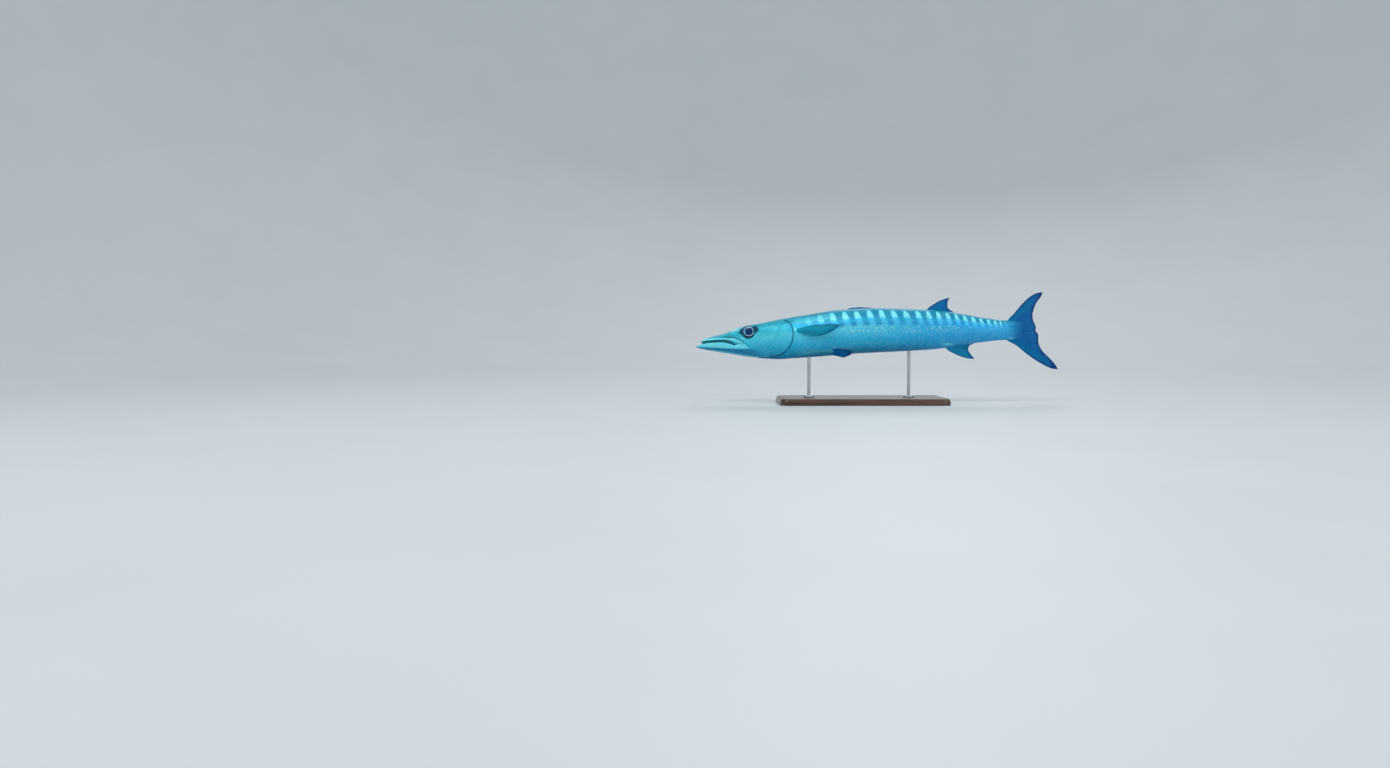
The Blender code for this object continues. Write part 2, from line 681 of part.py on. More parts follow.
def base():
    """A flat board with round corners and a small chamfer round its top."""
    outline = []
    for quarter, (right, back) in enumerate(((1, 1), (-1, 1), (-1, -1), (1, -1))):
        x, y = right * (BASE_LENGTH / 2 - BASE_CORNER), back * (BASE_WIDTH / 2 - BASE_CORNER)
        for step in range(7):
            angle = math.radians(90 * quarter + 15 * step)
            outline.append((x + BASE_CORNER * math.cos(angle), y + BASE_CORNER * math.sin(angle)))
    shape = bmesh.new()
    bottom = shape.faces.new([shape.verts.new((x, y, 0.0)) for x, y in outline])
    raised = bmesh.ops.extrude_face_region(shape, geom=[bottom])["geom"]
    top_corners = [part for part in raised if isinstance(part, bmesh.types.BMVert)]
    bmesh.ops.translate(shape, vec=(0, 0, BASE_HEIGHT), verts=top_corners)
    top_edges = [edge for edge in shape.edges if all(v.co.z > BASE_HEIGHT / 2 for v in edge.verts)]
    bmesh.ops.bevel(shape, geom=top_edges, offset=BASE_CHAMFER, segments=2, affect="EDGES", profile=0.5)
    points = [corner.co[:] for corner in shape.verts]
    faces = [[corner.index for corner in face.verts] for face in shape.faces]
    shape.free()
    mesh_object("stand_base", points, faces, STAINED_BOARD)


def head():
    """The snout, the lower jaw and the skull with its eyes and gill covers."""
    sides = (1, -1)
    snout = loft("upper_jaw", BODY, snout_stations(), RING_SIDES, SKIN)
    fuse(snout, *[lip(BODY, *UPPER_LIP, side) for side in sides])
    cut(snout, jaw_cutter())
    jaw = loft("lower_jaw", JAW, jaw_stations(), JAW_SIDES, SKIN)
    fuse(jaw, *[lip(JAW, *LOWER_LIP, side) for side in sides])
    skull = loft("head", BODY, stations(*FLESH["head"]), RING_SIDES, SKIN)
    fuse(skull, *[orbit(side) for side in sides], *[maxilla(side) for side in sides])
    sockets = [eyeball("socket", side, grow=GAP) for side in sides]
    pits = [nostril(side, at) for side in sides for at in NOSTRILS]
    cut(skull, *sockets, *pits, jaw_cutter())
    for name, side in (("left", -1), ("right", 1)):
        eyeball(f"eye_{name}", side, WET_EYE)
        gill_cover(f"gill_cover_{name}", side, SKIN)


def trunk():
    for name in ("trunk_front", "trunk_middle", "trunk_rear", "tail_stalk"):
        loft(name, BODY, stations(*FLESH[name]), RING_SIDES, SKIN)


def fins():
    first_dorsal_fin()
    second_dorsal_and_anal_fins()
    caudal_fins()
    for name, side in (("left", -1), ("right", 1)):
        pectoral_fin(f"pectoral_fin_{name}", side)
        pelvic_fin(f"pelvic_fin_{name}", side)


def stand():
    base()
    rod("stand_rod_front", ROD_STATIONS[0], "trunk_front")
    rod("stand_rod_rear", ROD_STATIONS[1], "trunk_middle")


def main():
    for old in list(bpy.data.objects):
        bpy.data.objects.remove(old)
    head()
    trunk()
    fins()
    stand()
    for made in bpy.data.objects:
        made.data.shade_smooth()
        made.data.set_sharp_from_angle(angle=math.radians(35))


main()
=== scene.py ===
"""A blackfin barracuda as a museum shows it: life size, swimming level, on a board with two rods.

A point of the fish is given as (s, y, h): s runs back from the tip of the lower jaw, h is the height
over the long axis and y the distance from the middle plane. world() sets such points in the frame.
"""

import math

import bmesh
import bpy
import numpy as np
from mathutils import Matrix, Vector

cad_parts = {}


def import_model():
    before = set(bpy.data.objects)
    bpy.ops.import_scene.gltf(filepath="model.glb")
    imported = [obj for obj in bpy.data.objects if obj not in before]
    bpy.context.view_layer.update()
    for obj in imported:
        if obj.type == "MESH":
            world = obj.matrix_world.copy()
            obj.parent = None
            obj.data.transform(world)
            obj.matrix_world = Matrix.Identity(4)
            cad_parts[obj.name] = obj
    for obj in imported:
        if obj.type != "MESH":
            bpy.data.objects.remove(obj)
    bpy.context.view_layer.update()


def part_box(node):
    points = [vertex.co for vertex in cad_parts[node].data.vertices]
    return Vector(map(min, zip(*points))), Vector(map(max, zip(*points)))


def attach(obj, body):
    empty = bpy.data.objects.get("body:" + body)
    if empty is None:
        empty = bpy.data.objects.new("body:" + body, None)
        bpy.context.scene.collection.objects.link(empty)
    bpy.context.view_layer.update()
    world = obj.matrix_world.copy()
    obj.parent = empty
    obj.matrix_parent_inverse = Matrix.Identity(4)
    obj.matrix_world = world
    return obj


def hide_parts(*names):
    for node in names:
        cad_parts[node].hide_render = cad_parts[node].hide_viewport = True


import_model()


# The flesh. A museum casts it in one piece from a mould of the real fish, so the trunk, the head and
# the snout run on from one section to the next. These are its outlines from the side and from above.
JAW_TIP_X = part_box("lower_jaw")[0][0]
AXIS_HEIGHT = 0.200
SWAY = ((0.0, 0.004), (0.25, 0.0), (0.50, -0.004), (0.75, 0.006), (0.90, 0.026), (1.02, 0.052))


def spline(*knots):
    """A smooth curve through (place, value) knots that never passes beyond them between two."""
    place, value = np.array(knots, float).T
    step = np.diff(place)
    slope = np.diff(value) / step
    tangent = np.concatenate([slope[:1], np.zeros(len(place) - 2), slope[-1:]])
    turning = slope[:-1] * slope[1:] > 0
    mean = np.where(turning, slope[:-1] + slope[1:], 1.0)
    tangent[1:-1] = np.where(turning, 2 * slope[:-1] * slope[1:] / mean, 0.0)

    def at(x):
        x = np.clip(x, place[0], place[-1])
        i = np.clip(np.searchsorted(place, x) - 1, 0, len(step) - 1)
        t = (x - place[i]) / step[i]
        rise = t * t * (3 - 2 * t)
        start = t * (1 - t) ** 2 * step[i] * tangent[i]
        end = t * t * (t - 1) * step[i] * tangent[i + 1]
        return value[i] * (1 - rise) + value[i + 1] * rise + start + end

    return at


def path(*points):
    """A smooth curve through points, as a function of the share of its length from 0 to 1."""
    points = np.array(points, float)
    run = np.concatenate([[0], np.cumsum(np.linalg.norm(np.diff(points, axis=0), axis=1))])
    axes = [spline(*zip(run / run[-1], column)) for column in points.T]
    return lambda u: np.stack([axis(u) for axis in axes], axis=-1)


class Form:
    """A long closed form, given by its outline from the side, its half width and its section's shape."""

    def __init__(self, top, bottom, width, level, square_top, square_bottom):
        self.top = spline(*top)
        self.bottom = spline(*bottom)
        self.width = spline(*width)
        self.level = spline(*level)
        self.square_top = spline(*square_top)
        self.square_bottom = spline(*square_bottom)

    def section(self, s, grow=0.0):
        top = self.top(s) + grow
        bottom = self.bottom(s) - grow
        middle = bottom + (top - bottom) * self.level(s)
        return top, bottom, middle, self.width(s) + grow

    def point(self, s, angle, grow=0.0):
        """The point of the section at s where angle is 0 on the +y side and a quarter turn on the back."""
        top, bottom, middle, width = self.section(s, grow)
        up = np.sin(angle) > 0
        power = 2 / np.where(up, self.square_top(s), self.square_bottom(s))
        reach = np.where(up, top - middle, middle - bottom)
        across = np.sign(np.cos(angle)) * np.abs(np.cos(angle)) ** power
        rise = np.sign(np.sin(angle)) * np.abs(np.sin(angle)) ** power
        return np.stack(np.broadcast_arrays(s, width * across, middle + reach * rise), axis=-1)

    def angle(self, s, h):
        """The angle at which the section at s reaches the height h on the +y side."""
        top, bottom, middle, _ = self.section(s)
        up = h > middle
        power = np.where(up, self.square_top(s), self.square_bottom(s)) / 2
        share = np.abs(h - middle) / np.where(up, top - middle, middle - bottom)
        return np.where(up, 1, -1) * np.arcsin(np.clip(share, 0, 1) ** power)

    def flank(self, s, h, grow=0.0):
        """The point of the +y side at s and h, moved out from the surface by grow."""
        return self.point(s, self.angle(s, h), grow)

    def girth(self, s, columns):
        """Angles that part the sections at s into equal lengths, from the belly up the +y side."""
        fine = np.linspace(-0.5, 1.5, 1081) * math.pi
        ring = self.point(s[:, None], fine)
        run = np.cumsum(np.linalg.norm(np.diff(ring, axis=1), axis=2), axis=1)
        run = np.concatenate([np.zeros((len(s), 1)), run], axis=1)
        share = np.arange(columns) / columns
        return np.stack([np.interp(share * row[-1], row, fine) for row in run])


BODY = Form(
    top=(
        (0.012, -0.0296), (0.018, -0.0246), (0.026, -0.0214), (0.038, -0.0174), (0.050, -0.0138),
        (0.060, -0.0120), (0.071, -0.0092), (0.082, -0.0056), (0.094, -0.0010), (0.104, 0.0030),
        (0.116, 0.0070), (0.130, 0.0118), (0.142, 0.0152), (0.162, 0.0186), (0.229, 0.0320),
        (0.300, 0.0440), (0.400, 0.0590), (0.506, 0.0634), (0.580, 0.0612), (0.666, 0.0570),
        (0.746, 0.0448), (0.801, 0.0352), (0.840, 0.0302), (0.885, 0.0292), (0.908, 0.0296),
    ),
    bottom=(
        (0.012, -0.0324), (0.020, -0.0296), (0.040, -0.0268), (0.064, -0.0260), (0.079, -0.0272),
        (0.088, -0.0304), (0.098, -0.0352), (0.106, -0.0400), (0.132, -0.0590), (0.161, -0.0730),
        (0.196, -0.0767), (0.229, -0.0780), (0.266, -0.0755), (0.350, -0.0695), (0.451, -0.0615),
        (0.580, -0.0552), (0.666, -0.0496), (0.746, -0.0372), (0.801, -0.0298), (0.840, -0.0258),
        (0.885, -0.0245), (0.908, -0.0256),
    ),
    width=(
        (0.012, 0.0020), (0.018, 0.0060), (0.035, 0.0100), (0.060, 0.0135), (0.090, 0.0176),
        (0.118, 0.0215), (0.141, 0.0250), (0.170, 0.0290), (0.210, 0.0330), (0.266, 0.0368),
        (0.330, 0.0398), (0.420, 0.0425), (0.520, 0.0428), (0.620, 0.0398), (0.700, 0.0338),
        (0.780, 0.0245), (0.840, 0.0155), (0.868, 0.0090), (0.885, 0.0040), (0.908, 0.0010),
    ),
    level=(
        (0.012, 0.30), (0.060, 0.24), (0.083, 0.28), (0.106, 0.34), (0.141, 0.62), (0.180, 0.56),
        (0.300, 0.52), (0.885, 0.50),
    ),
    square_top=(
        (0.012, 2.1), (0.060, 2.4), (0.110, 3.2), (0.141, 4.0), (0.180, 3.0), (0.230, 2.4),
        (0.350, 2.1), (0.885, 2.1),
    ),
    square_bottom=(
        (0.012, 2.0), (0.090, 2.0), (0.118, 3.0), (0.140, 2.4), (0.170, 2.0), (0.350, 2.1),
        (0.885, 2.1),
    ),
)
sway = spline(*SWAY)


def world(points):
    """Points of the fish's frame, as (s, y, h), set in the model's frame."""
    s, y, h = np.moveaxis(np.asarray(points, float), -1, 0)
    return np.stack([JAW_TIP_X + s, sway(s) + y, AXIS_HEIGHT + h], axis=-1)


def mesh_piece(name, points, *faces):
    """A mesh from points of the fish's frame and arrays of faces with equally many corners each."""
    mesh = bpy.data.meshes.new(name)
    points = world(points)
    mesh.vertices.add(len(points))
    mesh.vertices.foreach_set("co", points.ravel())
    corners = np.concatenate([part.ravel() for part in faces])
    sizes = np.concatenate([np.full(len(part), part.shape[1]) for part in faces])
    mesh.loops.add(len(corners))
    mesh.loops.foreach_set("vertex_index", corners)
    mesh.polygons.add(len(sizes))
    mesh.polygons.foreach_set("loop_start", np.concatenate([[0], np.cumsum(sizes)[:-1]]))
    mesh.update(calc_edges=True)
    piece = bpy.data.objects.new(name, mesh)
    bpy.context.scene.collection.objects.link(piece)
    return piece


def normals(grid):
    """Outward directions over a grid of points whose columns go once round a form."""
    along = np.gradient(grid, axis=0)
    around = np.roll(grid, -1, axis=1) - np.roll(grid, 1, axis=1)
    out = np.cross(around, along)
    return out / np.linalg.norm(out, axis=-1)[..., None]


def tube_piece(name, grid):
    """A closed form from rings of points, one ring a row, facing out, with a fan over each end."""
    rings, sides = grid.shape[:2]
    row, column = np.meshgrid(np.arange(rings - 1), np.arange(sides), indexing="ij")
    a = (row * sides + column).ravel()
    b = (row * sides + (column + 1) % sides).ravel()
    quads = np.stack([a, a + sides, b + sides, b], axis=-1)
    k = np.arange(sides)
    front = np.stack([k, (k + 1) % sides, np.full(sides, rings * sides)], axis=-1)
    last = (rings - 1) * sides
    back = np.stack([last + (k + 1) % sides, last + k, np.full(sides, rings * sides + 1)], axis=-1)
    middles = np.stack([grid[0].mean(axis=0), grid[-1].mean(axis=0)])
    return mesh_piece(name, np.concatenate([grid.reshape(-1, 3), middles]), quads, front, back)


# The relief of the head: the bones and folds that stand up or sink under its skin, each drawn as a
# line or an outline of (s, h) on the side of the head. Most are a millimetre high or less; the gill
# cover and the root of the breast fin stand 2 to 3 mm out.
MAXILLA = (
    (0.0700, -0.0205), (0.0800, -0.0176), (0.0900, -0.0162), (0.1000, -0.0165), (0.1100, -0.0192),
    (0.1200, -0.0240), (0.1280, -0.0302), (0.1296, -0.0335), (0.1260, -0.0352), (0.1180, -0.0350),
    (0.1080, -0.0328), (0.0980, -0.0292), (0.0870, -0.0258), (0.0770, -0.0232),
)
CHEEK_FOLD = ((0.0500, -0.0176), (0.0700, -0.0142), (0.0900, -0.0120), (0.1100, -0.0130), (0.1240, -0.0170))
PREOPERCLE = (
    (0.2262, 0.0150), (0.2245, 0.0050), (0.2200, -0.0080), (0.2120, -0.0210), (0.2030, -0.0340),
    (0.1930, -0.0470), (0.1820, -0.0590), (0.1700, -0.0700), (0.1500, -0.0820),
)
CHEEK_CANAL = ((0.1230, -0.0180), (0.1360, -0.0225), (0.1520, -0.0225), (0.1680, -0.0170), (0.1780, -0.0080))
UPPER_LIP_ANGLE = math.radians(-14)
GILL_FRONT = (
    (0.2365, 0.0272), (0.2235, 0.0185), (0.2080, 0.0065), (0.1960, -0.0100), (0.1885, -0.0280),
    (0.1855, -0.0450), (0.1870, -0.0600), (0.1920, -0.0680), (0.1980, -0.0708),
)
GILL_REAR = (
    (0.2412, 0.0282), (0.2511, 0.0241), (0.2581, 0.0141), (0.2617, 0.0034), (0.2619, -0.0080),
    (0.2605, -0.0203), (0.2581, -0.0311), (0.2540, -0.0396), (0.2467, -0.0508), (0.2362, -0.0600),
    (0.2195, -0.0679), (0.2020, -0.0711),
)
GILL_RISE = 0.0032
GILL_OUTLINE = GILL_FRONT + GILL_REAR[::-1]
EYE_AT = (0.1414, -0.0024)
EYE_RADIUS = 0.0160
EYE_HALF_DEPTH = 0.0074
EYE_SUNK = 0.0031
NOSTRILS = ((0.1145, -0.0050), (0.1190, -0.0025))
BONE_EDGE = (
    (0.0770, -0.0170), (0.0855, -0.0170), (0.0955, -0.0172), (0.1045, -0.0182), (0.1130, -0.0215),
    (0.1220, -0.0260), (0.1270, -0.0296), (0.1340, -0.0352), (0.1410, -0.0412), (0.1455, -0.0450),
)


def ease(low, high, x):
    """0 below low and 1 above high, with a smooth rise between; also the other way round."""
    t = np.clip((x - low) / (high - low), 0, 1)
    return t * t * (3 - 2 * t)


def hump(x, width):
    """1 at 0, with a smooth fall to both sides."""
    return np.exp(-(x / width) ** 2)


def nearest(line, s, h):
    """How far each (s, h) lies from a line of points, and on which side: above or ahead is positive."""
    line = np.array(line)
    best = np.full(s.shape, np.inf)
    signed = np.zeros(s.shape)
    for (s0, h0), (s1, h1) in zip(line[:-1], line[1:]):
        ds, dh = s1 - s0, h1 - h0
        t = np.clip(((s - s0) * ds + (h - h0) * dh) / (ds * ds + dh * dh), 0, 1)
        away = np.hypot(s - s0 - t * ds, h - h0 - t * dh)
        turn = np.sign(ds * (h - h0) - dh * (s - s0))
        signed = np.where(away < best, away * turn, signed)
        best = np.minimum(away, best)
    return signed


def inside(outline, s, h):
    """How deep each (s, h) lies inside a closed outline; outside it is negative."""
    corners = np.array(outline)
    within = np.zeros(s.shape, bool)
    for (s0, h0), (s1, h1) in zip(corners, np.roll(corners, -1, axis=0)):
        crossing = (h0 > h) != (h1 > h)
        within ^= crossing & (s < s0 + (h - h0) * (s1 - s0) / (h1 - h0 + 1e-12))
    away = np.abs(nearest(list(outline) + [outline[0]], s, h))
    return np.where(within, away, -away)


def fine(line, count=60):
    """A line given as points, with more points on its smooth curve."""
    return path(*line)(np.linspace(0, 1, count))


def eye_frame(side):
    """The middle of the eye on the skin, and the three directions of a frame whose last looks out."""
    s, h = EYE_AT
    near = EYE_RADIUS * 0.6
    ahead, behind = BODY.flank(s - EYE_RADIUS, h), BODY.flank(s + EYE_RADIUS, h)
    over, under = BODY.flank(s, h + near), BODY.flank(s, h - near)
    out = np.cross(over - under, behind - ahead) * (1, side, 1)
    out *= side * np.sign(out[1]) / np.linalg.norm(out)
    first = np.cross((0, 0, 1.0), out)
    first /= np.linalg.norm(first)
    return BODY.flank(s, h) * (1, side, 1), first, np.cross(out, first), out


def eye_distance(points):
    """How far points lie from the nearer eye's axis."""
    near = []
    for side in (1, -1):
        middle, first, second, out = eye_frame(side)
        reach = points - middle
        away = np.hypot(reach @ first, reach @ second)
        near.append(np.where(reach @ out > -0.012, away, np.inf))
    return np.minimum(*near)


def cover_rise(points):
    """How far the gill cover stands over the plain form, more and more towards its free rear edge.

    Also how far the points lie from that edge, and 0 at its two ends, rising to 1 away from them.
    """
    s, _, h = np.moveaxis(points, -1, 0)
    front = np.abs(nearest(fine(GILL_FRONT), s, h))
    rear = np.abs(nearest(fine(GILL_REAR), s, h))
    (s0, h0), (s1, h1) = GILL_REAR[0], GILL_REAR[-1]
    ends = ease(0.001, 0.014, np.hypot(s - s0, h - h0)) * ease(0.001, 0.016, np.hypot(s - s1, h - h1))
    return GILL_RISE * ease(0, 1, front / (front + rear + 1e-9)) * ends, rear, ends


def head_relief(points):
    """How far the skin stands over the plain form of the body."""
    s, y, h = np.moveaxis(points, -1, 0)
    side_on = ease(0.15, 0.55, np.abs(y) / BODY.width(s))
    lip = hump(h - BODY.point(s, UPPER_LIP_ANGLE)[..., 2], 0.0013)
    lift = 0.0009 * lip * side_on * ease(0.108, 0.100, s)
    depth = inside(fine(MAXILLA), s, h)
    lift += side_on * (0.0012 * ease(-0.0004, 0.0016, depth) - 0.0005 * hump(depth + 0.0010, 0.0007))
    fold = nearest(fine(CHEEK_FOLD), s, h)
    lift += side_on * (0.0003 * hump(fold - 0.0020, 0.0020) - 0.0005 * hump(fold, 0.0008))
    canal = nearest(fine(CHEEK_CANAL), s, h)
    lift -= side_on * 0.0003 * hump(canal, 0.0009)
    edge = nearest(fine(PREOPERCLE), s, h)
    step = np.where(edge < 0, ease(-0.016, 0.0, edge), ease(0.0011, 0.0, edge))
    lift += side_on * 0.0008 * step * ease(0.174, 0.198, s)
    away = eye_distance(points)
    lift += 0.0011 * hump(away - EYE_RADIUS + 0.0006, 0.0020)
    brow = ease(0.080, 0.110, s) * ease(0.200, 0.150, s) * (h > EYE_AT[1])
    lift += brow * (0.0007 * hump(np.abs(y) - 0.0085, 0.0030) - 0.0008 * hump(y, 0.0040))
    snout = ease(0.020, 0.045, s) * ease(0.110, 0.085, s) * (h > -0.024)
    lift += snout * (0.0004 * hump(y, 0.0022) - 0.0003 * hump(np.abs(y) - 0.0050, 0.0018))
    throat = ease(0.160, 0.175, s) * ease(0.262, 0.235, s)
    throat *= ease(0.0000, -0.0020, inside(GILL_OUTLINE, s, h)) * ease(-0.062, -0.070, h)
    lift += throat * 0.00030 * np.cos(np.abs(y) / 0.0046 * 2 * math.pi + s * 60)
    for at in NOSTRILS:
        lift += side_on * 0.0005 * hump(np.hypot(s - at[0], h - at[1]) - 0.0018, 0.0007)
    shoulder = np.hypot((s - 0.2712) / 0.0060, (h - 0.0016) / 0.0074)
    lift += side_on * 0.0022 * hump(shoulder, 1.0)
    return lift


def skin_relief(points):
    """The relief of the head with the gill covers' bony part, short of their free edge."""
    s, _, h = np.moveaxis(points, -1, 0)
    cover, rear, _ = cover_rise(points)
    return head_relief(points) + cover * ease(0.0015, 0.0065, rear) * (inside(GILL_OUTLINE, s, h) > 0)


# The trunk and the skull as one grid of rings, closest on the head, where the relief is finest. It
# lies under the CAD surface by the depth of the coat of scales.
COAT_DEPTH = 0.0004
SKIN_COLUMNS = 176
SNOUT_END, HEAD_END, BODY_END = 0.0120, 0.2850, 0.9080
RING_STEP = 0.0013
TRUNK_RINGS = 110
head_rings = np.arange(SNOUT_END, HEAD_END, RING_STEP)
trunk_rings = np.linspace(HEAD_END, BODY_END, TRUNK_RINGS)
skin_rings = np.concatenate([[SNOUT_END, 0.0124, 0.0128], head_rings[1:], trunk_rings])


def skin_surface(rings, columns, lift=skin_relief):
    """The skin's points and outward directions on rings at some s."""
    grid = BODY.point(rings[:, None], BODY.girth(rings, columns), -COAT_DEPTH)
    out = normals(grid)
    return grid + out * lift(grid)[..., None], out


skin = tube_piece("skin", skin_surface(skin_rings, SKIN_COLUMNS)[0])


# The lower jaw, which runs back under the cheek to its joint. A groove with a row of small pores follows
# the bone, a soft lip lies along its edge, and its tip is a fleshy knob. It is cast with the rest, a little
# way open, and flesh closes the mouth behind the lips, painted dark as the shade inside the mouth.
JAW = Form(
    top=(
        (0.000, -0.0430), (0.004, -0.0408), (0.010, -0.0375), (0.017, -0.0354), (0.028, -0.0338),
        (0.050, -0.0315), (0.066, -0.0303), (0.078, -0.0314), (0.090, -0.0340), (0.106, -0.0384),
        (0.118, -0.0355), (0.129, -0.0335), (0.143, -0.0460), (0.153, -0.0585), (0.163, -0.0690),
    ),
    bottom=(
        (0.000, -0.0444), (0.004, -0.0466), (0.015, -0.0498), (0.049, -0.0565), (0.092, -0.0632),
        (0.132, -0.0698), (0.163, -0.0737),
    ),
    width=(
        (0.000, 0.0010), (0.004, 0.0050), (0.015, 0.0086), (0.049, 0.0128), (0.092, 0.0180),
        (0.106, 0.0190), (0.118, 0.0197), (0.130, 0.0199), (0.143, 0.0192), (0.155, 0.0140),
        (0.163, 0.0060),
    ),
    level=((0.0, 0.55), (0.03, 0.84), (0.12, 0.84), (0.163, 0.72)),
    square_top=((0.0, 2.2), (0.03, 2.8), (0.12, 2.8), (0.163, 2.1)),
    square_bottom=((0.0, 2.0), (0.03, 1.8), (0.163, 1.8)),
)
JAW_GROOVE = (
    (0.014, -0.0456), (0.035, -0.0452), (0.060, -0.0462), (0.090, -0.0490), (0.115, -0.0525),
    (0.138, -0.0600),
)
JAW_PORES = (
    (0.022, -0.0480), (0.040, -0.0494), (0.058, -0.0510), (0.076, -0.0530), (0.094, -0.0552),
    (0.112, -0.0580),
)
LOWER_LIP_ANGLE = math.radians(24)
MOUTH_CORNER = 0.106
MOUTH_GAP = 0.0006
LINING_SIDES = 40
LINING_OVERLAP = 0.0014
WELD = 0.00010


def jaw_relief(points):
    """How far the lower jaw's skin stands over its plain form."""
    s, y, h = np.moveaxis(points, -1, 0)
    side_on = ease(0.25, 0.60, np.abs(y) / JAW.width(s))
    lip = hump(h - JAW.point(s, LOWER_LIP_ANGLE)[..., 2], 0.0012)
    lift = 0.0008 * lip * side_on * ease(0.112, 0.104, s)
    lift -= side_on * 0.0005 * hump(nearest(fine(JAW_GROOVE), s, h), 0.0009)
    for at in JAW_PORES:
        lift -= side_on * 0.0007 * hump(np.hypot(s - at[0], h - at[1]), 0.0009)
    lift += 0.0006 * ease(0.012, 0.003, s)
    lift -= 0.0005 * hump(y, 0.0012) * (h < -0.050)
    return lift


def jaw_surface(rings, columns, grow):
    """The lower jaw's points on rings at some s, moved out from its plain form."""
    grid = JAW.point(rings[:, None], JAW.girth(rings, columns))
    return grid + normals(grid) * grow(grid)[..., None]


def take_away(piece, *others):
    """Takes the others out of the piece, removes them, and welds the slivers this leaves."""
    for other in others:
        step = piece.modifiers.new(other.name, "BOOLEAN")
        step.operation = "DIFFERENCE"
        step.solver = "MANIFOLD"
        step.object = other
    graph = bpy.context.evaluated_depsgraph_get()
    piece.data = bpy.data.meshes.new_from_object(piece.evaluated_get(graph))
    piece.modifiers.clear()
    for other in others:
        bpy.data.objects.remove(other)
    welded = bmesh.new()
    welded.from_mesh(piece.data)
    bmesh.ops.remove_doubles(welded, verts=welded.verts, dist=WELD)
    welded.to_mesh(piece.data)
    welded.free()


def join(piece, *others):
    """Adds the closed forms of the others to the piece, and removes them."""
    whole = bmesh.new()
    for part in (piece, *others):
        whole.from_mesh(part.data)
    whole.to_mesh(piece.data)
    whole.free()
    for other in others:
        bpy.data.objects.remove(other)


jaw_rings = np.concatenate([[0.0, 0.0004, 0.0010, 0.0018], np.arange(0.003, 0.1625, RING_STEP), [0.163]])
jaw = tube_piece("jaw", jaw_surface(jaw_rings, 96, lambda grid: jaw_relief(grid) - COAT_DEPTH / 2))
mouth_room = tube_piece(
    "mouth_room",
    jaw_surface(jaw_rings, 64, lambda grid: MOUTH_GAP * (1 - 3 * ease(MOUTH_CORNER, 0.118, grid[..., 0]))),
)
take_away(skin, mouth_room)
lining_rings = np.linspace(0.0160, 0.1040, 60)


def full_turn(count):
    """Angles once round, in equal steps."""
    return np.arange(count) * 2 * math.pi / count


def mouth_lining(s):
    """The flesh between the jaws, narrower than their lips, painted dark as the shade in the mouth."""
    turn = full_turn(LINING_SIDES)
    high, low = BODY.bottom(s) + LINING_OVERLAP, JAW.top(s) - LINING_OVERLAP
    width = 0.64 * np.minimum(BODY.width(s), JAW.width(s)) * np.sqrt(ease(0.014, 0.030, s))
    across = np.cos(turn) * width
    up = (high + low) / 2 + np.sin(turn) * np.maximum(high - low, 0.0030) / 2
    return np.stack(np.broadcast_arrays(s, across, up), axis=-1)


# The mouth's inside; its dark paint is painted shade.
lining = tube_piece("lining", mouth_lining(lining_rings[:, None])[:, ::-1])


# The gill covers: bony plates that grow out of the cheek and end in a free rear edge, with a narrow
# opening under it. They are cast with the head. This is the free part, which stands off the body.
COVER_SHARE = 0.38
COVER_EDGE = 0.0006


def sheet_faces(rows, columns):
    """The faces between a sheet's grid of points, and the points once round its rim."""
    row, column = np.meshgrid(np.arange(rows - 1), np.arange(columns - 1), indexing="ij")
    a = (row * columns + column).ravel()
    quads = np.stack([a, a + 1, a + columns + 1, a + columns], axis=-1)
    rim = np.concatenate([
        np.arange(columns), np.arange(1, rows) * columns + columns - 1,
        (rows - 1) * columns + np.arange(columns - 2, -1, -1), np.arange(rows - 2, 0, -1) * columns,
    ])
    return quads, rim


def slab_piece(name, outer, inner):
    """A closed sheet between two grids of points, with a wall round its rim."""
    count = outer.shape[0] * outer.shape[1]
    quads, rim = sheet_faces(*outer.shape[:2])
    following = np.roll(rim, -1)
    wall = np.stack([rim, rim + count, following + count, following], axis=-1)
    points = np.concatenate([outer.reshape(-1, 3), inner.reshape(-1, 3)])
    facing = np.cross(outer[1:, :-1] - outer[:-1, :-1], outer[:-1, 1:] - outer[:-1, :-1])
    faces = [quads, quads[:, ::-1] + count, wall]
    if np.sum(facing * (outer - inner)[:-1, :-1]) > 0:
        faces = [part[:, ::-1] for part in faces]
    return mesh_piece(name, points, *faces)


def gill_flap(side):
    """The rear part of a gill cover as a sheet of its own, thin at its free edge."""
    along = np.linspace(0, 1, 120)
    edges = [path(*line)(along) for line in (GILL_FRONT, GILL_REAR)]
    ends = [np.stack([s, BODY.angle(s, h)], axis=-1)[:, None] for s, h in (edge.T for edge in edges)]
    across = np.linspace(0, 1, 24)[None, :]
    share = (1 - COVER_SHARE + COVER_SHARE * across)[..., None]
    s, angle = np.moveaxis(ends[0] * (1 - share) + ends[1] * share, -1, 0)
    plain = BODY.point(s, angle)
    lift, _, ends_in = cover_rise(plain)
    rise = lift + head_relief(plain) - COAT_DEPTH
    outer = rise - 0.0020 * ease(0.16, 0.0, across)
    outer = outer - 0.0005 * ease(0.94, 1.0, across) ** 2 - 0.0012 * (1 - ends_in)
    inner = outer - COVER_EDGE - 0.0030 * ease(0.70, 0.20, across)
    sides = (1, side, 1)
    return slab_piece("gill_flap", BODY.point(s, angle, outer) * sides, BODY.point(s, angle, inner) * sides)


join(skin, jaw, lining, gill_flap(1), gill_flap(-1))
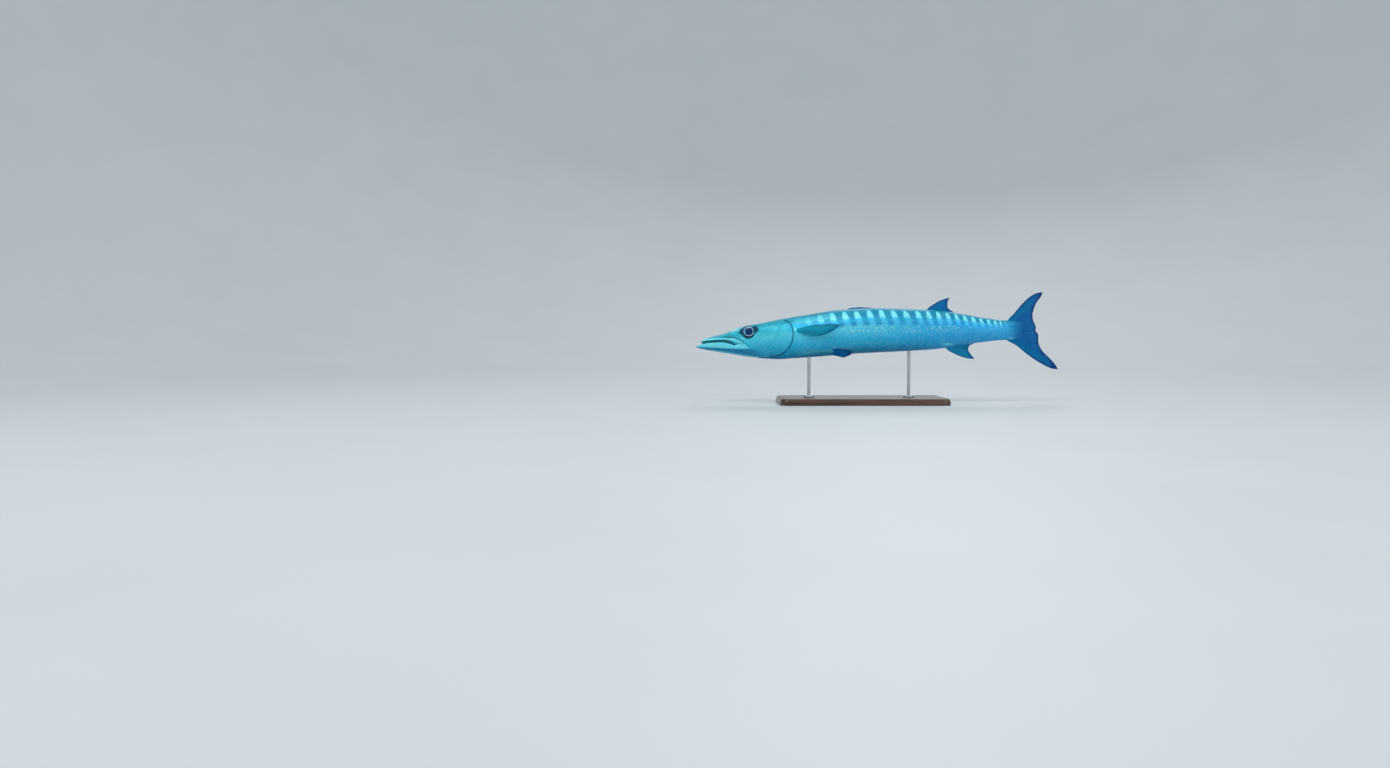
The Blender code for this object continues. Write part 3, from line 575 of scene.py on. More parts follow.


# What the colours of the skin and the scales go by, kept at each point of their meshes: its place
# along the fish, its share of the way up, where it lies in the row of bars, and the dark marks and painted
# shade.
BAR_PLACES = (
    0.3765, 0.4100, 0.4430, 0.4770, 0.5100, 0.5430, 0.5760, 0.6100, 0.6380, 0.6650, 0.6910, 0.7150,
    0.7390, 0.7630, 0.7850, 0.8070, 0.8260, 0.8410,
)
GILL_LINE = (
    (0.2424, 0.0288), (0.2520, 0.0249), (0.2591, 0.0146), (0.2628, 0.0035), (0.2630, -0.0080),
    (0.2616, -0.0205), (0.2592, -0.0315), (0.2550, -0.0403), (0.2476, -0.0518), (0.2370, -0.0612),
    (0.2200, -0.0691), (0.2020, -0.0723),
)
FIRST_BAR_STEP, LAST_BAR_STEP = 0.0335, 0.0150
LIP_FOOT = spline(
    (0.004, -0.0440), (0.027, -0.0455), (0.076, -0.0477), (0.147, -0.0488), (0.165, -0.0560),
)
PALE_SPOTS = (
    ((0.2672, 0.0030), (0.0038, 0.0040), 0.90), ((0.6880, -0.0360), (0.0180, 0.0040), 0.50),
    ((0.8720, -0.0205), (0.0110, 0.0036), 0.50),
)
LATERAL_LINE = spline((0.262, 0.0215), (0.500, 0.0260), (0.706, 0.0290), (0.800, 0.0175), (0.879, 0.0030))


def dark_marks_and_painted_shade(points):
    """Dark skin round the eye, dark membrane and painted shade in the gill slit, and painted shade in the
    mouth, nostrils, folds and grooves.
    """
    s, y, h = np.moveaxis(points, -1, 0)
    side_on = ease(0.15, 0.45, np.abs(y) / BODY.width(s))

    def along(line, width):
        return hump(nearest(fine(line), s, h), width) * side_on

    def smudge(at_s, at_h, long, high):
        return ease(1.25, 0.70, np.hypot((s - at_s) / long, (h - at_h) / high)) * side_on

    eye = eye_distance(points)
    cover = inside(GILL_OUTLINE, s, h)
    # The gill slit: the body just behind the cover's free edge, dark for the gill membrane and darkened
    # further as painted shade under that edge.
    slit = ease(-0.0032, -0.0012, cover) * ease(0.0008, -0.0002, cover) * side_on
    slit *= (nearest(fine(GILL_LINE), s, h) > -0.0034) * (s > 0.2)
    # Painted shade in the crease along the upper jaw's bone and on towards the lower jaw, and in the groove
    # round the maxilla.
    bone = along(BONE_EDGE, 0.0016) * ease(0.072, 0.084, s) * ease(0.150, 0.124, s)
    rear_part = ease(0.074, 0.090, s) * ease(-0.0020, 0.0010, h + 0.0290 - 0.22 * (s - 0.100))
    border = hump(nearest(fine(MAXILLA + MAXILLA[:1], 120), s, h), 0.0010) * side_on
    border *= np.maximum(rear_part, 0.3 * (s > 0.09))
    # Painted shade along the step of the preopercle's edge.
    cheek = hump(nearest(fine(PREOPERCLE), s, h) - 0.0008, 0.0010) * side_on
    cheek *= ease(-0.060, 0.0, h) * ease(0.0130, 0.0100, h)
    # Painted shade: dark spots in place of the nostrils' hollows.
    nostrils = [ease(0.0022, 0.0012, np.hypot(s - at[0], h - at[1])) * side_on for at in NOSTRILS]
    # Painted shade inside the mouth: on the flesh between the jaws and the inner edges of the lips.
    mouth = ease(0.0018, 0.0008, h - BODY.bottom(s)) * ease(-0.0018, -0.0008, h - JAW.top(s))
    mouth *= ease(0.93, 0.80, np.abs(y) / JAW.width(s)) * (BODY.bottom(s) > JAW.top(s) - 0.0030)
    return np.maximum.reduce([
        # Dark gill membrane and painted shade in the slit.
        0.95 * slit,
        0.90 * ease(0.0186, 0.0168, eye),
        0.85 * ease(0.0200, 0.0184, eye) * (h < 0.010),
        0.92 * smudge(0.1600, 0.0046, 0.0096, 0.0100),
        0.90 * smudge(0.1236, -0.0022, 0.0064, 0.0092),
        # Painted shade in the creases along the upper jaw's bone and round the maxilla.
        0.92 * bone,
        0.92 * border,
        # Painted shade in the cheek fold, along the preopercle, in the jaw's groove and in the nostrils.
        0.35 * along(CHEEK_FOLD, 0.0010),
        0.30 * cheek,
        0.35 * along(JAW_GROOVE, 0.0010) * (s < 0.140),
        0.90 * np.maximum(*nostrils),
        # Painted shade in the mouth.
        0.50 * mouth * (s < 0.112),
    ])


def pale_and_deep(points):
    """Where the fish is paler than its flank, on the lips, the brow and a few spots, and where deeper."""
    s, y, h = np.moveaxis(points, -1, 0)
    side_on = ease(0.15, 0.45, np.abs(y) / BODY.width(s))
    over = h - BODY.bottom(s)
    upper_lip = ease(0.0012, 0.0026, over) * ease(0.0080, 0.0046, over)
    upper_lip *= ease(0.013, 0.019, s) * ease(0.102, 0.080, s)
    lip_top = np.minimum(JAW.top(s), -0.0325)
    lower_lip = ease(-0.0012, 0.0012, h - LIP_FOOT(s)) * ease(0.0020, 0.0004, h - lip_top)
    lower_lip *= ease(0.162, 0.130, s) * ease(0.2, 0.5, np.abs(y) / JAW.width(s))
    brow = ease(0.0080, 0.0045, BODY.top(s) - h) * ease(0.088, 0.098, s) * ease(0.132, 0.120, s)
    crown = ease(0.0034, 0.0012, np.abs(h - 0.40 * s + 0.0395)) * side_on
    crown *= ease(0.094, 0.101, s) * ease(0.119, 0.112, s)
    ridge = ease(0.0016, 0.0006, np.abs(h - BODY.top(s) + 0.0030))
    ridge *= ease(0.030, 0.042, s) * ease(0.094, 0.084, s)
    rim = hump(h - JAW.bottom(s) - 0.0030, 0.0014) * ease(0.030, 0.050, s) * ease(0.182, 0.160, s)
    spots = []
    for (at_s, at_h), (long, high), share in PALE_SPOTS:
        spot = np.hypot((s - at_s) / long, (h - at_h) / high)
        spots.append(share * ease(1.3, 0.4, spot) * side_on)
    pale = np.maximum.reduce([
        0.85 * upper_lip,
        0.75 * lower_lip,
        0.55 * ease(0.0, 0.0025, inside(fine(MAXILLA), s, h)) * side_on,
        0.60 * brow,
        0.95 * crown,
        0.55 * ridge,
        0.75 * rim,
        *spots,
    ])
    deep = ease(0.0014, -0.0014, h - LIP_FOOT(s)) * ease(0.190, 0.150, s) * ease(0.018, 0.040, s)
    return pale, 0.75 * deep


def keep(piece, name, *columns):
    """Keeps three values at each point of a mesh, for its material."""
    kept = piece.data.attributes.new(name, "FLOAT_VECTOR", "POINT")
    kept.data.foreach_set("vector", np.stack(columns, axis=-1).astype(np.float32).ravel())


def mark(piece, points, seed):
    """Keeps what the colours of the skin and its scales go by."""
    s, _, h = points.T
    low = np.where(s < 0.150, np.minimum(BODY.bottom(s), JAW.bottom(s)), BODY.bottom(s))
    up = np.clip((h - low) / (BODY.top(s) - low), 0, 1)
    bars = np.interp(s, BAR_PLACES, np.arange(len(BAR_PLACES)))
    bars = np.where(s < BAR_PLACES[0], (s - BAR_PLACES[0]) / FIRST_BAR_STEP, bars)
    behind = len(BAR_PLACES) - 1 + (s - BAR_PLACES[-1]) / LAST_BAR_STEP
    bars = np.where(s > BAR_PLACES[-1], behind, bars)
    keep(piece, "place", s, up, bars)
    keep(piece, "trace", dark_marks_and_painted_shade(points), (h - LATERAL_LINE(s)) * 1000, seed)
    keep(piece, "tone", *pale_and_deep(points), np.zeros(len(s)))


def own(points):
    """Points of the model's frame, back in the fish's own frame."""
    x, y, z = np.moveaxis(np.asarray(points, float), -1, 0)
    return np.stack([x - JAW_TIP_X, y - sway(x - JAW_TIP_X), z - AXIS_HEIGHT], axis=-1)


def points_of(piece):
    """A piece's points in the fish's own frame."""
    found = np.empty(len(piece.data.vertices) * 3)
    piece.data.vertices.foreach_get("co", found)
    return own(found.reshape(-1, 3))


mark(skin, points_of(skin), np.full(len(skin.data.vertices), 0.5))


# The colours of the fish, painted on the cast and lacquered: a pale blue flank under a blue-green back,
# along which dark bars and pale blotches take turns, and a painted shade that deepens the blue towards
# the belly. The skin and the scales share this paint.
LACQUER = {"Coat Weight": 0.08, "Coat Roughness": 0.12, "Specular IOR Level": 0.14}
GRAIN_STRENGTH, GRAIN_DEPTH = 0.25, 0.0004
# Shades by the share of the way up, for the flank and the head: the blue-green back is the fish's own
# colour, and the darker blue low down is painted shade under the belly.
FLANK_SHADES = (
    (0.0, 0, 118, 172), (0.10, 0, 146, 190), (0.22, 0, 164, 208), (0.35, 34, 178, 220),
    (0.50, 74, 200, 232), (0.62, 84, 208, 238), (0.72, 34, 182, 226), (0.85, 10, 160, 200),
    (0.94, 4, 150, 178), (1.0, 0, 126, 152),
)
HEAD_SHADES = (
    (0.0, 4, 128, 172), (0.25, 30, 164, 204), (0.45, 62, 190, 218), (0.62, 80, 208, 228),
    (0.80, 34, 182, 204), (0.94, 8, 158, 178), (1.0, 2, 140, 160),
)


def paint(red, green, blue):
    """A colour given as a screen shows it, for a shader."""
    return tuple((share / 255) ** 2.2 for share in (red, green, blue)) + (1.0,)


def add(tree, kind, inputs, **settings):
    """Adds a node with its settings, and with its inputs as values or as sockets to link."""
    made = tree.nodes.new("ShaderNode" + kind)
    for name, value in settings.items():
        setattr(made, name, value)
    for key, value in inputs.items():
        if isinstance(value, bpy.types.NodeSocket):
            tree.links.new(value, made.inputs[key])
        else:
            made.inputs[key].default_value = value
    return made


def calc(tree, operation, *values):
    """What a Math node makes of numbers and sockets."""
    return add(tree, "Math", dict(enumerate(values)), operation=operation).outputs[0]


def product(tree, *values):
    found = values[0]
    for value in values[1:]:
        found = calc(tree, "MULTIPLY", found, value)
    return found


def rise(tree, value, low, high, first=0.0, last=1.0):
    """A smooth rise of a value from low to high; also the other way round."""
    inputs = {0: value, 1: low, 2: high, 3: first, 4: last}
    return add(tree, "MapRange", inputs, interpolation_type="SMOOTHSTEP").outputs[0]


def mix(tree, factor, first, second):
    """One colour blended into another by a share from 0 to 1."""
    return add(tree, "Mix", {0: factor, 6: first, 7: second}, data_type="RGBA").outputs[2]


def between(tree, value, low, full_low, full_high, high):
    """1 where a value lies between two limits, with a smooth fall to 0 beyond them."""
    return product(tree, rise(tree, value, low, full_low), rise(tree, value, high, full_high))


def lay(tree, colour, *layers):
    """Lays colours over a first one, each with its share and its red, green and blue."""
    for share, *shade in layers:
        colour = mix(tree, share, colour, paint(*shade))
    return colour


def ramp(tree, value, stops):
    """A colour by a value, from stops that each have a place and a red, green and blue."""
    made = add(tree, "ValToRGB", {0: value})
    elements = made.color_ramp.elements
    for (place, *shade), element in zip((stops[0], stops[-1]), tuple(elements)):
        element.position = place
        element.color = paint(*shade)
    for place, *shade in stops[1:-1]:
        elements.new(place).color = paint(*shade)
    return made.outputs[0]


def noise(tree, place, scale, stretch=(1, 1, 1), detail=2.0):
    """A cloudy value from 0 to 1 that changes over the place."""
    spot = add(tree, "Mapping", {"Vector": place, "Scale": stretch}).outputs[0]
    return add(tree, "TexNoise", {"Vector": spot, "Scale": scale, "Detail": detail}).outputs[0]


def group(name, inputs, outputs):
    """A node group that takes vectors and puts out a colour and values, and the nodes at its ends."""
    tree = bpy.data.node_groups.new(name, "ShaderNodeTree")
    for label in inputs:
        tree.interface.new_socket(label, in_out="INPUT", socket_type="NodeSocketVector")
    for label in outputs:
        kind = "NodeSocketColor" if label == "Base Color" else "NodeSocketFloat"
        tree.interface.new_socket(label, in_out="OUTPUT", socket_type=kind)
    return tree, tree.nodes.new("NodeGroupInput"), tree.nodes.new("NodeGroupOutput")


def put_out(tree, end, *values):
    """Links what a group puts out, in the order of its outputs."""
    for value, socket in zip(values, end.inputs):
        tree.links.new(value, socket)


def parts(tree, vector):
    """The three values that a vector socket carries."""
    return add(tree, "SeparateXYZ", {0: vector}).outputs


def material(name, tree, shader):
    """A material whose shader takes what a node group puts out, and its other values as given.

    A group's Where is the place on the object. Its other inputs are values kept on the mesh.
    """
    made = bpy.data.materials.new(name)
    made.use_nodes = True
    nodes = made.node_tree
    principled = nodes.nodes["Principled BSDF"]
    for label, value in shader.items():
        principled.inputs[label].default_value = value
    painted = add(nodes, "Group", {}, node_tree=tree)
    for socket in painted.inputs:
        if socket.name == "Where":
            source = add(nodes, "TexCoord", {}).outputs["Object"]
        else:
            source = add(nodes, "Attribute", {}, attribute_name=socket.name.lower()).outputs["Vector"]
        nodes.links.new(source, socket)
    for socket in painted.outputs:
        if socket.name == "Height":
            grain = {"Height": socket, "Strength": GRAIN_STRENGTH, "Distance": GRAIN_DEPTH}
            nodes.links.new(add(nodes, "Bump", grain).outputs[0], principled.inputs["Normal"])
        else:
            nodes.links.new(socket, principled.inputs[socket.name])
    return made


def ground_colour(tree, s, up, pale, deep):
    """The skin without its marks: pale at mid height, darker on the snout and towards the tail, and painted
    shade towards the belly.
    """
    rear = product(tree, rise(tree, s, 0.40, 0.74, 0.0, 0.80), rise(tree, up, 0.84, 0.70))
    flank = lay(tree, ramp(tree, up, FLANK_SHADES), (rear, 0, 150, 216))
    colour = mix(tree, rise(tree, s, 0.22, 0.29), ramp(tree, up, HEAD_SHADES), flank)
    snout = rise(tree, s, 0.125, 0.06, 0.0, 0.28)
    return lay(tree, colour, (snout, 4, 104, 136), (deep, 0, 104, 156), (pale, 120, 236, 246))


def bars_and_blotches(tree, colour, up, bars, where):
    """The leaning bars of the upper flank, the pale blotches between them, and a faint lower row."""
    on_row = product(tree, rise(tree, bars, -3.5, -0.4), rise(tree, bars, 18.4, 16.6))
    leaning = calc(tree, "SUBTRACT", calc(tree, "MULTIPLY_ADD", up, 0.8, bars), 0.514)
    away = calc(tree, "PINGPONG", leaning, 0.5)
    grain = rise(tree, noise(tree, where, 300, detail=3.0), 0.30, 0.60, 0.55, 1.0)
    bar = product(
        tree, rise(tree, away, 0.20, 0.34), between(tree, up, 0.68, 0.80, 0.94, 1.0), on_row, grain, 0.85,
    )
    lower = calc(tree, "PINGPONG", calc(tree, "ADD", bars, 0.46), 0.5)
    lower = rise(tree, lower, 0.40, 0.12)
    lower = product(tree, lower, between(tree, up, 0.58, 0.66, 0.69, 0.75), on_row, 0.72)
    tail_of_blotch = rise(tree, away, 0.32, 0.12)
    tail_of_blotch = product(
        tree, tail_of_blotch, between(tree, up, 0.60, 0.72, 0.78, 0.88), on_row, 0.55,
    )
    width = rise(tree, up, 0.66, 0.90, 0.27, 0.19)
    corner = rise(tree, up, 0.88, 0.96, 0.0, 0.13)
    blotch = rise(tree, calc(tree, "ADD", calc(tree, "SUBTRACT", away, width), corner), 0.09, -0.06)
    blotch = product(tree, blotch, between(tree, up, 0.745, 0.83, 0.925, 0.965), on_row, 0.90)
    return lay(
        tree, colour, (bar, 0, 130, 168), (lower, 0, 128, 188), (tail_of_blotch, 72, 200, 244),
        (blotch, 138, 244, 252),
    )


def small_marks(tree, colour, s, up, line, seed, broad, small, where):
    """Painted glints of single scales that seem to catch the light, the lateral line, and the dark root of
    the tail.
    """
    shoulder = product(
        tree, between(tree, s, 0.255, 0.275, 0.355, 0.385), between(tree, up, 0.79, 0.85, 0.91, 0.96), 0.50,
    )
    # Painted glints: a few single scales on the mid flank painted pale gold, as if they caught the light.
    painted_glint = product(
        tree, rise(tree, seed, 0.78, 0.84), between(tree, up, 0.44, 0.52, 0.57, 0.63),
        between(tree, s, 0.36, 0.42, 0.70, 0.78), 0.36,
    )
    along = rise(tree, calc(tree, "ABSOLUTE", line), 1.5, 0.5)
    along = product(tree, along, between(tree, s, 0.262, 0.280, 0.86, 0.885), 0.14)
    hem = product(
        tree, between(tree, up, 0.08, 0.11, 0.13, 0.16), between(tree, s, 0.27, 0.31, 0.38, 0.44), 0.35,
    )
    ribs = rise(tree, noise(tree, where, 60, stretch=(9, 1, 1.2)), 0.42, 0.62)
    ribs = product(tree, ribs, rise(tree, up, 0.62, 0.45), rise(tree, s, 0.25, 0.31), 0.08)
    silver = rise(tree, calc(tree, "ADD", broad, small), -0.25, 0.30, 0.0, 0.10)
    bright_scales = product(tree, rise(tree, seed, 0.5, 1.0), 0.05)
    dull_scales = product(tree, rise(tree, seed, 0.5, 0.0), 0.06)
    tail_root = rise(tree, calc(tree, "MULTIPLY_ADD", small, 0.03, s), 0.855, 0.898, 0.0, 0.92)
    return lay(
        tree, colour, (shoulder, 96, 220, 238), (painted_glint, 190, 240, 214), (along, 150, 232, 246),
        (hem, 110, 206, 200), (ribs, 190, 240, 246), (silver, 120, 220, 238),
        (bright_scales, 214, 250, 252), (dull_scales, 4, 80, 112), (tail_root, 0, 100, 160),
    )


def markings():
    """The paint of the skin and the scales, from the values that each point of them keeps."""
    tree, start, end = group(
        "barracuda_markings", ("Place", "Trace", "Tone", "Where"),
        ("Base Color", "Roughness", "Metallic", "Height"),
    )
    s, up, bars = parts(tree, start.outputs["Place"])
    dark, line, seed = parts(tree, start.outputs["Trace"])
    pale, deep, _ = parts(tree, start.outputs["Tone"])
    where = start.outputs["Where"]
    broad = calc(tree, "SUBTRACT", noise(tree, where, 26, detail=3.0), 0.5)
    small = calc(tree, "SUBTRACT", noise(tree, where, 120, detail=3.0), 0.5)
    unevenness = calc(tree, "ADD", product(tree, broad, 0.06), product(tree, small, 0.02))
    up = calc(tree, "ADD", up, unevenness)
    bars = calc(tree, "ADD", bars, product(tree, small, 0.16))
    colour = ground_colour(tree, s, up, pale, deep)
    colour = bars_and_blotches(tree, colour, up, bars, where)
    colour = small_marks(tree, colour, s, up, line, seed, broad, small, where)
    # Lays on the dark marks round the eye and the gill membrane, and the painted shade in the gill slit, the
    # mouth, the nostrils, the folds and the grooves.
    colour = lay(tree, colour, (dark, 0, 46, 76))
    rough = calc(tree, "MULTIPLY_ADD", small, 0.25, 0.35)
    rough = calc(tree, "MULTIPLY_ADD", dark, 0.20, rough)
    shine = product(tree, between(tree, up, 0.02, 0.35, 0.66, 0.94), rise(tree, s, 0.05, 0.25, 0.5, 1.0))
    shine = product(tree, shine, calc(tree, "SUBTRACT", 1.0, dark), 0.36)
    put_out(tree, end, colour, rough, shine, noise(tree, where, 1400, detail=3.0))
    return tree


painted_skin = material("painted_skin", markings(), LACQUER)


def show(piece, painted, slot, *nodes):
    """Finishes a piece: smooth, painted, on the model's one body, in place of the CAD nodes it shows."""
    piece.data.shade_smooth()
    piece.data.materials.clear()
    piece.data.materials.append(painted)
    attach(piece, "root")
    if nodes:
        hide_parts(*nodes)


show(
    skin, painted_skin, "skin", "upper_jaw", "lower_jaw", "head", "gill_cover_left", "gill_cover_right",
    "trunk_front", "trunk_middle", "trunk_rear", "tail_stalk",
)


# The eyes: flattened balls of glass with a clear, wet surface, let into the head. They are painted
# from behind: a large dark blue pupil a little back from the middle and above it, a blue iris, a thin
# bright ring round that, and a dark rim.
EYE_RINGS, EYE_SIDES = 56, 112
EYE_GLASS = {
    "Roughness": 0.20, "Specular IOR Level": 0.1, "Coat Weight": 0.30, "Coat Roughness": 0.02,
}


def ball(name, side, radius, half_depth, rings, sides):
    """A flattened ball in the place of an eye."""
    middle, first, second, out = eye_frame(side)
    middle = middle - out * EYE_SUNK
    tilt = np.linspace(0.004, 0.996, rings) * math.pi
    turn = full_turn(sides) * side
    reach = radius * np.sin(tilt)[:, None, None]
    way = np.cos(turn)[None, :, None] * first + np.sin(turn)[None, :, None] * second
    return tube_piece(name, middle + reach * way - half_depth * np.cos(tilt)[:, None, None] * out)


def eye_paint():
    """The rings of the eye, from how far ahead and how high a point lies in it."""
    tree, start, end = group("eye_rings", ("Look",), ("Base Color", "Metallic"))
    ahead, up, _ = parts(tree, start.outputs["Look"])

    def oval(back, low, long, high):
        """How far a point lies out in an oval, 1 on its edge."""
        first = calc(tree, "DIVIDE", calc(tree, "ADD", ahead, back), long)
        second = calc(tree, "DIVIDE", calc(tree, "ADD", up, low), high)
        squares = calc(tree, "ADD", product(tree, first, first), product(tree, second, second))
        return calc(tree, "SQRT", squares)

    pupil = oval(0.12, -0.08, 0.57, 0.64)
    rim = oval(0.07, -0.08, 0.86, 0.77)
    turn = product(tree, calc(tree, "ARCTAN2", up, ahead), 6.0)
    streak = add(tree, "CombineXYZ", {0: turn, 1: product(tree, pupil, 1.5)}).outputs[0]
    streak = noise(tree, streak, 4.0, detail=3.0)
    iris = mix(tree, streak, paint(0, 66, 114), paint(12, 118, 164))
    iris = lay(tree, iris, (rise(tree, ahead, 0.38, 0.68, 0.0, 0.7), 60, 178, 210))
    ring = rise(tree, ahead, 0.45, -0.35, 0.55, 1.0)
    ring = mix(tree, ring, paint(60, 160, 190), paint(214, 250, 252))
    on_ring = product(tree, rise(tree, rim, 0.89, 0.93), rise(tree, pupil, 0.98, 1.02))
    colour = mix(tree, rise(tree, pupil, 0.96, 1.02), paint(0, 46, 96), iris)
    colour = mix(tree, on_ring, colour, ring)
    colour = lay(tree, colour, (rise(tree, rim, 0.99, 1.04), 0, 48, 84))
    put_out(tree, end, colour, product(tree, rise(tree, pupil, 0.98, 1.04), 0.4))
    return tree


glass_eye = material("glass_eye", eye_paint(), EYE_GLASS)
for side, name in ((1, "right"), (-1, "left")):
    eye = ball(f"{name}_eye", side, EYE_RADIUS, EYE_HALF_DEPTH, EYE_RINGS, EYE_SIDES)
    s, _, h = points_of(eye).T
    keep(eye, "look", (EYE_AT[0] - s) / EYE_RADIUS, (h - EYE_AT[1]) / EYE_RADIUS, np.zeros(len(s)))
    show(eye, glass_eye, "eye", f"eye_{name}")


# The coat: thin round-edged scales in slanting rows, each over the front of the next, 60 rows round
# the fish from its cheeks to the root of its tail. They are left off the snout, jaws and throat.
ROWS_ROUND = 60
SCALE_ALONG = np.array([-0.60, 0.0, 0.55])
SCALE_ACROSS = np.array([-1.0, -0.62, -0.22, 0.22, 0.62, 1.0])
SCALE_HALF_WIDTH = 0.57
SCALE_THICKNESS = 0.00018
SCALE_FRONT, SCALE_REAR = -0.00008, 0.00034
SCALE_CROWN, SCALE_SUNK = 0.00005, 0.00016
TUBE_HEIGHT = 0.00026
SHORTEST_SCALE, FULL_SCALE = 0.0036, 0.0050
UNEVEN_TURN, UNEVEN_TILT = 0.05, 0.06
COAT_START, COAT_END = 0.150, 0.899
COAT_PARTS = (
    ("cheek", 0.290), ("shoulder", 0.370), ("back", 0.450), ("middle", 0.530), ("flank", 0.610),
    ("rear", 0.690), ("narrow", 0.765), ("stalk", 0.830), ("tail", 1.0),
)
BARE_FACE = (
    (0.0000, 0.0500), (0.2100, 0.0500), (0.2060, 0.0270), (0.1960, 0.0215), (0.1800, 0.0150),
    (0.1680, 0.0080), (0.1610, -0.0040), (0.1570, -0.0180), (0.1570, -0.0320), (0.1620, -0.0450),
    (0.1720, -0.0560), (0.1860, -0.0640), (0.2020, -0.0700), (0.2250, -0.0690), (0.2450, -0.0610),
    (0.2600, -0.0600), (0.2700, -0.0700), (0.2760, -0.0900), (0.0000, -0.0900),
)
PATCH = 0.003
TABLE_STEP = 0.0015
TABLE_COLUMNS = 256
chance = np.random.default_rng(7)


class Surface:
    """The skin's surface as a table over s and the share of the way round, to set scales on."""

    def __init__(self, lift):
        self.rings = np.arange(0.140, 0.908, TABLE_STEP)
        self.points, self.out = skin_surface(self.rings, TABLE_COLUMNS, lift)
        self.girth = np.linalg.norm(np.roll(self.points, -1, axis=1) - self.points, axis=2).sum(axis=1)

    def at(self, s, share):
        row = np.clip((s - self.rings[0]) / TABLE_STEP, 0, len(self.rings) - 1.001)
        column = (share % 1.0) * TABLE_COLUMNS
        i, j = row.astype(int), column.astype(int)
        f, g = (row - i)[..., None], (column - j)[..., None]
        j, following = j % TABLE_COLUMNS, (j + 1) % TABLE_COLUMNS
        found = []
        for grid in (self.points, self.out):
            near = grid[i, j] * (1 - g) + grid[i, following] * g
            far = grid[i + 1, j] * (1 - g) + grid[i + 1, following] * g
            found.append(near * (1 - f) + far * f)
        return found


body_surface = Surface(head_relief)
cover_surface = Surface(lambda points: head_relief(points) + cover_rise(points)[0])


def scale_length(s):
    """The length along the fish that each scale of a row takes, as long as the rows are wide."""
    return np.maximum(np.interp(s, body_surface.rings, body_surface.girth) / ROWS_ROUND, SHORTEST_SCALE)


def scale_roots():
    """Where each scale grows: s, and the share of the way round from the belly up the right side."""
    s, found, ring = COAT_START, [], 0
    while s < COAT_END:
        share = (np.arange(ROWS_ROUND) + 0.5 * (ring % 2)) / ROWS_ROUND
        found.append(np.stack([np.full(ROWS_ROUND, s), share], axis=-1))
        s += float(scale_length(s)) / 2
        ring += 1
    return np.concatenate(found)


root = scale_roots()
root_point = body_surface.at(root[:, 0], root[:, 1])[0]
s, y, h = root_point.T
on_cover = inside(GILL_OUTLINE, s, h) > 0
gill_edge = np.abs(nearest(fine(GILL_REAR), s, h))
face = inside(BARE_FACE, s, h)
bare = (face > 0) | (eye_distance(root_point) < EYE_RADIUS + 0.0036)
bare |= np.abs(nearest(fine(PREOPERCLE), s, h) - 0.0006) < 0.0014
bare |= gill_edge < np.where(on_cover, 0.0020, 0.0032)
bare |= np.hypot(s - 0.2690, h - 0.0016) < 0.0068
root, root_point, on_cover, face = root[~bare], root_point[~bare], on_cover[~bare], face[~bare]
s, _, h = root_point.T
cheek_edge = np.abs(nearest(fine(PREOPERCLE), s, h) - 0.0006)
gill_edge = np.abs(nearest(fine(GILL_REAR), s, h))
standing = ease(0.0, -0.010, face) * ease(0.0008, 0.0050, cheek_edge)
standing *= np.where(on_cover, ease(0.0010, 0.0055, gill_edge), 1.0)


def scale_shapes(root, surface, tube, height, standing):
    """The points of one scale for each root: the top, then the under side, as one grid each."""
    a, b = np.meshgrid(SCALE_ALONG, SCALE_ACROSS, indexing="ij")
    a = np.where(a > 0, a * (1 - 0.88 * b ** 2), a)
    b = b * np.where(a < -0.3, 0.85, 1.0)
    uneven = chance.normal(0, (UNEVEN_TURN, UNEVEN_TILT), (len(root), 2))
    turn, tilt = uneven.T[:, :, None, None]
    length = scale_length(root[:, 0])[:, None, None]
    s = root[:, 0, None, None] + (a + turn * b) * length
    share = root[:, 1, None, None] + (b * SCALE_HALF_WIDTH - turn * a) / ROWS_ROUND
    points, out = surface.at(s, share)
    lift = (SCALE_REAR - SCALE_FRONT) * (1 + tilt) * (a - SCALE_ALONG[0]) / np.ptp(SCALE_ALONG)
    lift = lift - SCALE_CROWN * b ** 2
    top = (SCALE_FRONT + lift) * height[:, None, None] - SCALE_SUNK * (1 - standing[:, None, None])
    top = top + tube[:, None, None] * TUBE_HEIGHT * hump(b, 0.30) * ease(-0.5, 0.0, a)
    under = top - SCALE_THICKNESS
    return np.stack([points + out * top[..., None], points + out * under[..., None]], axis=1)


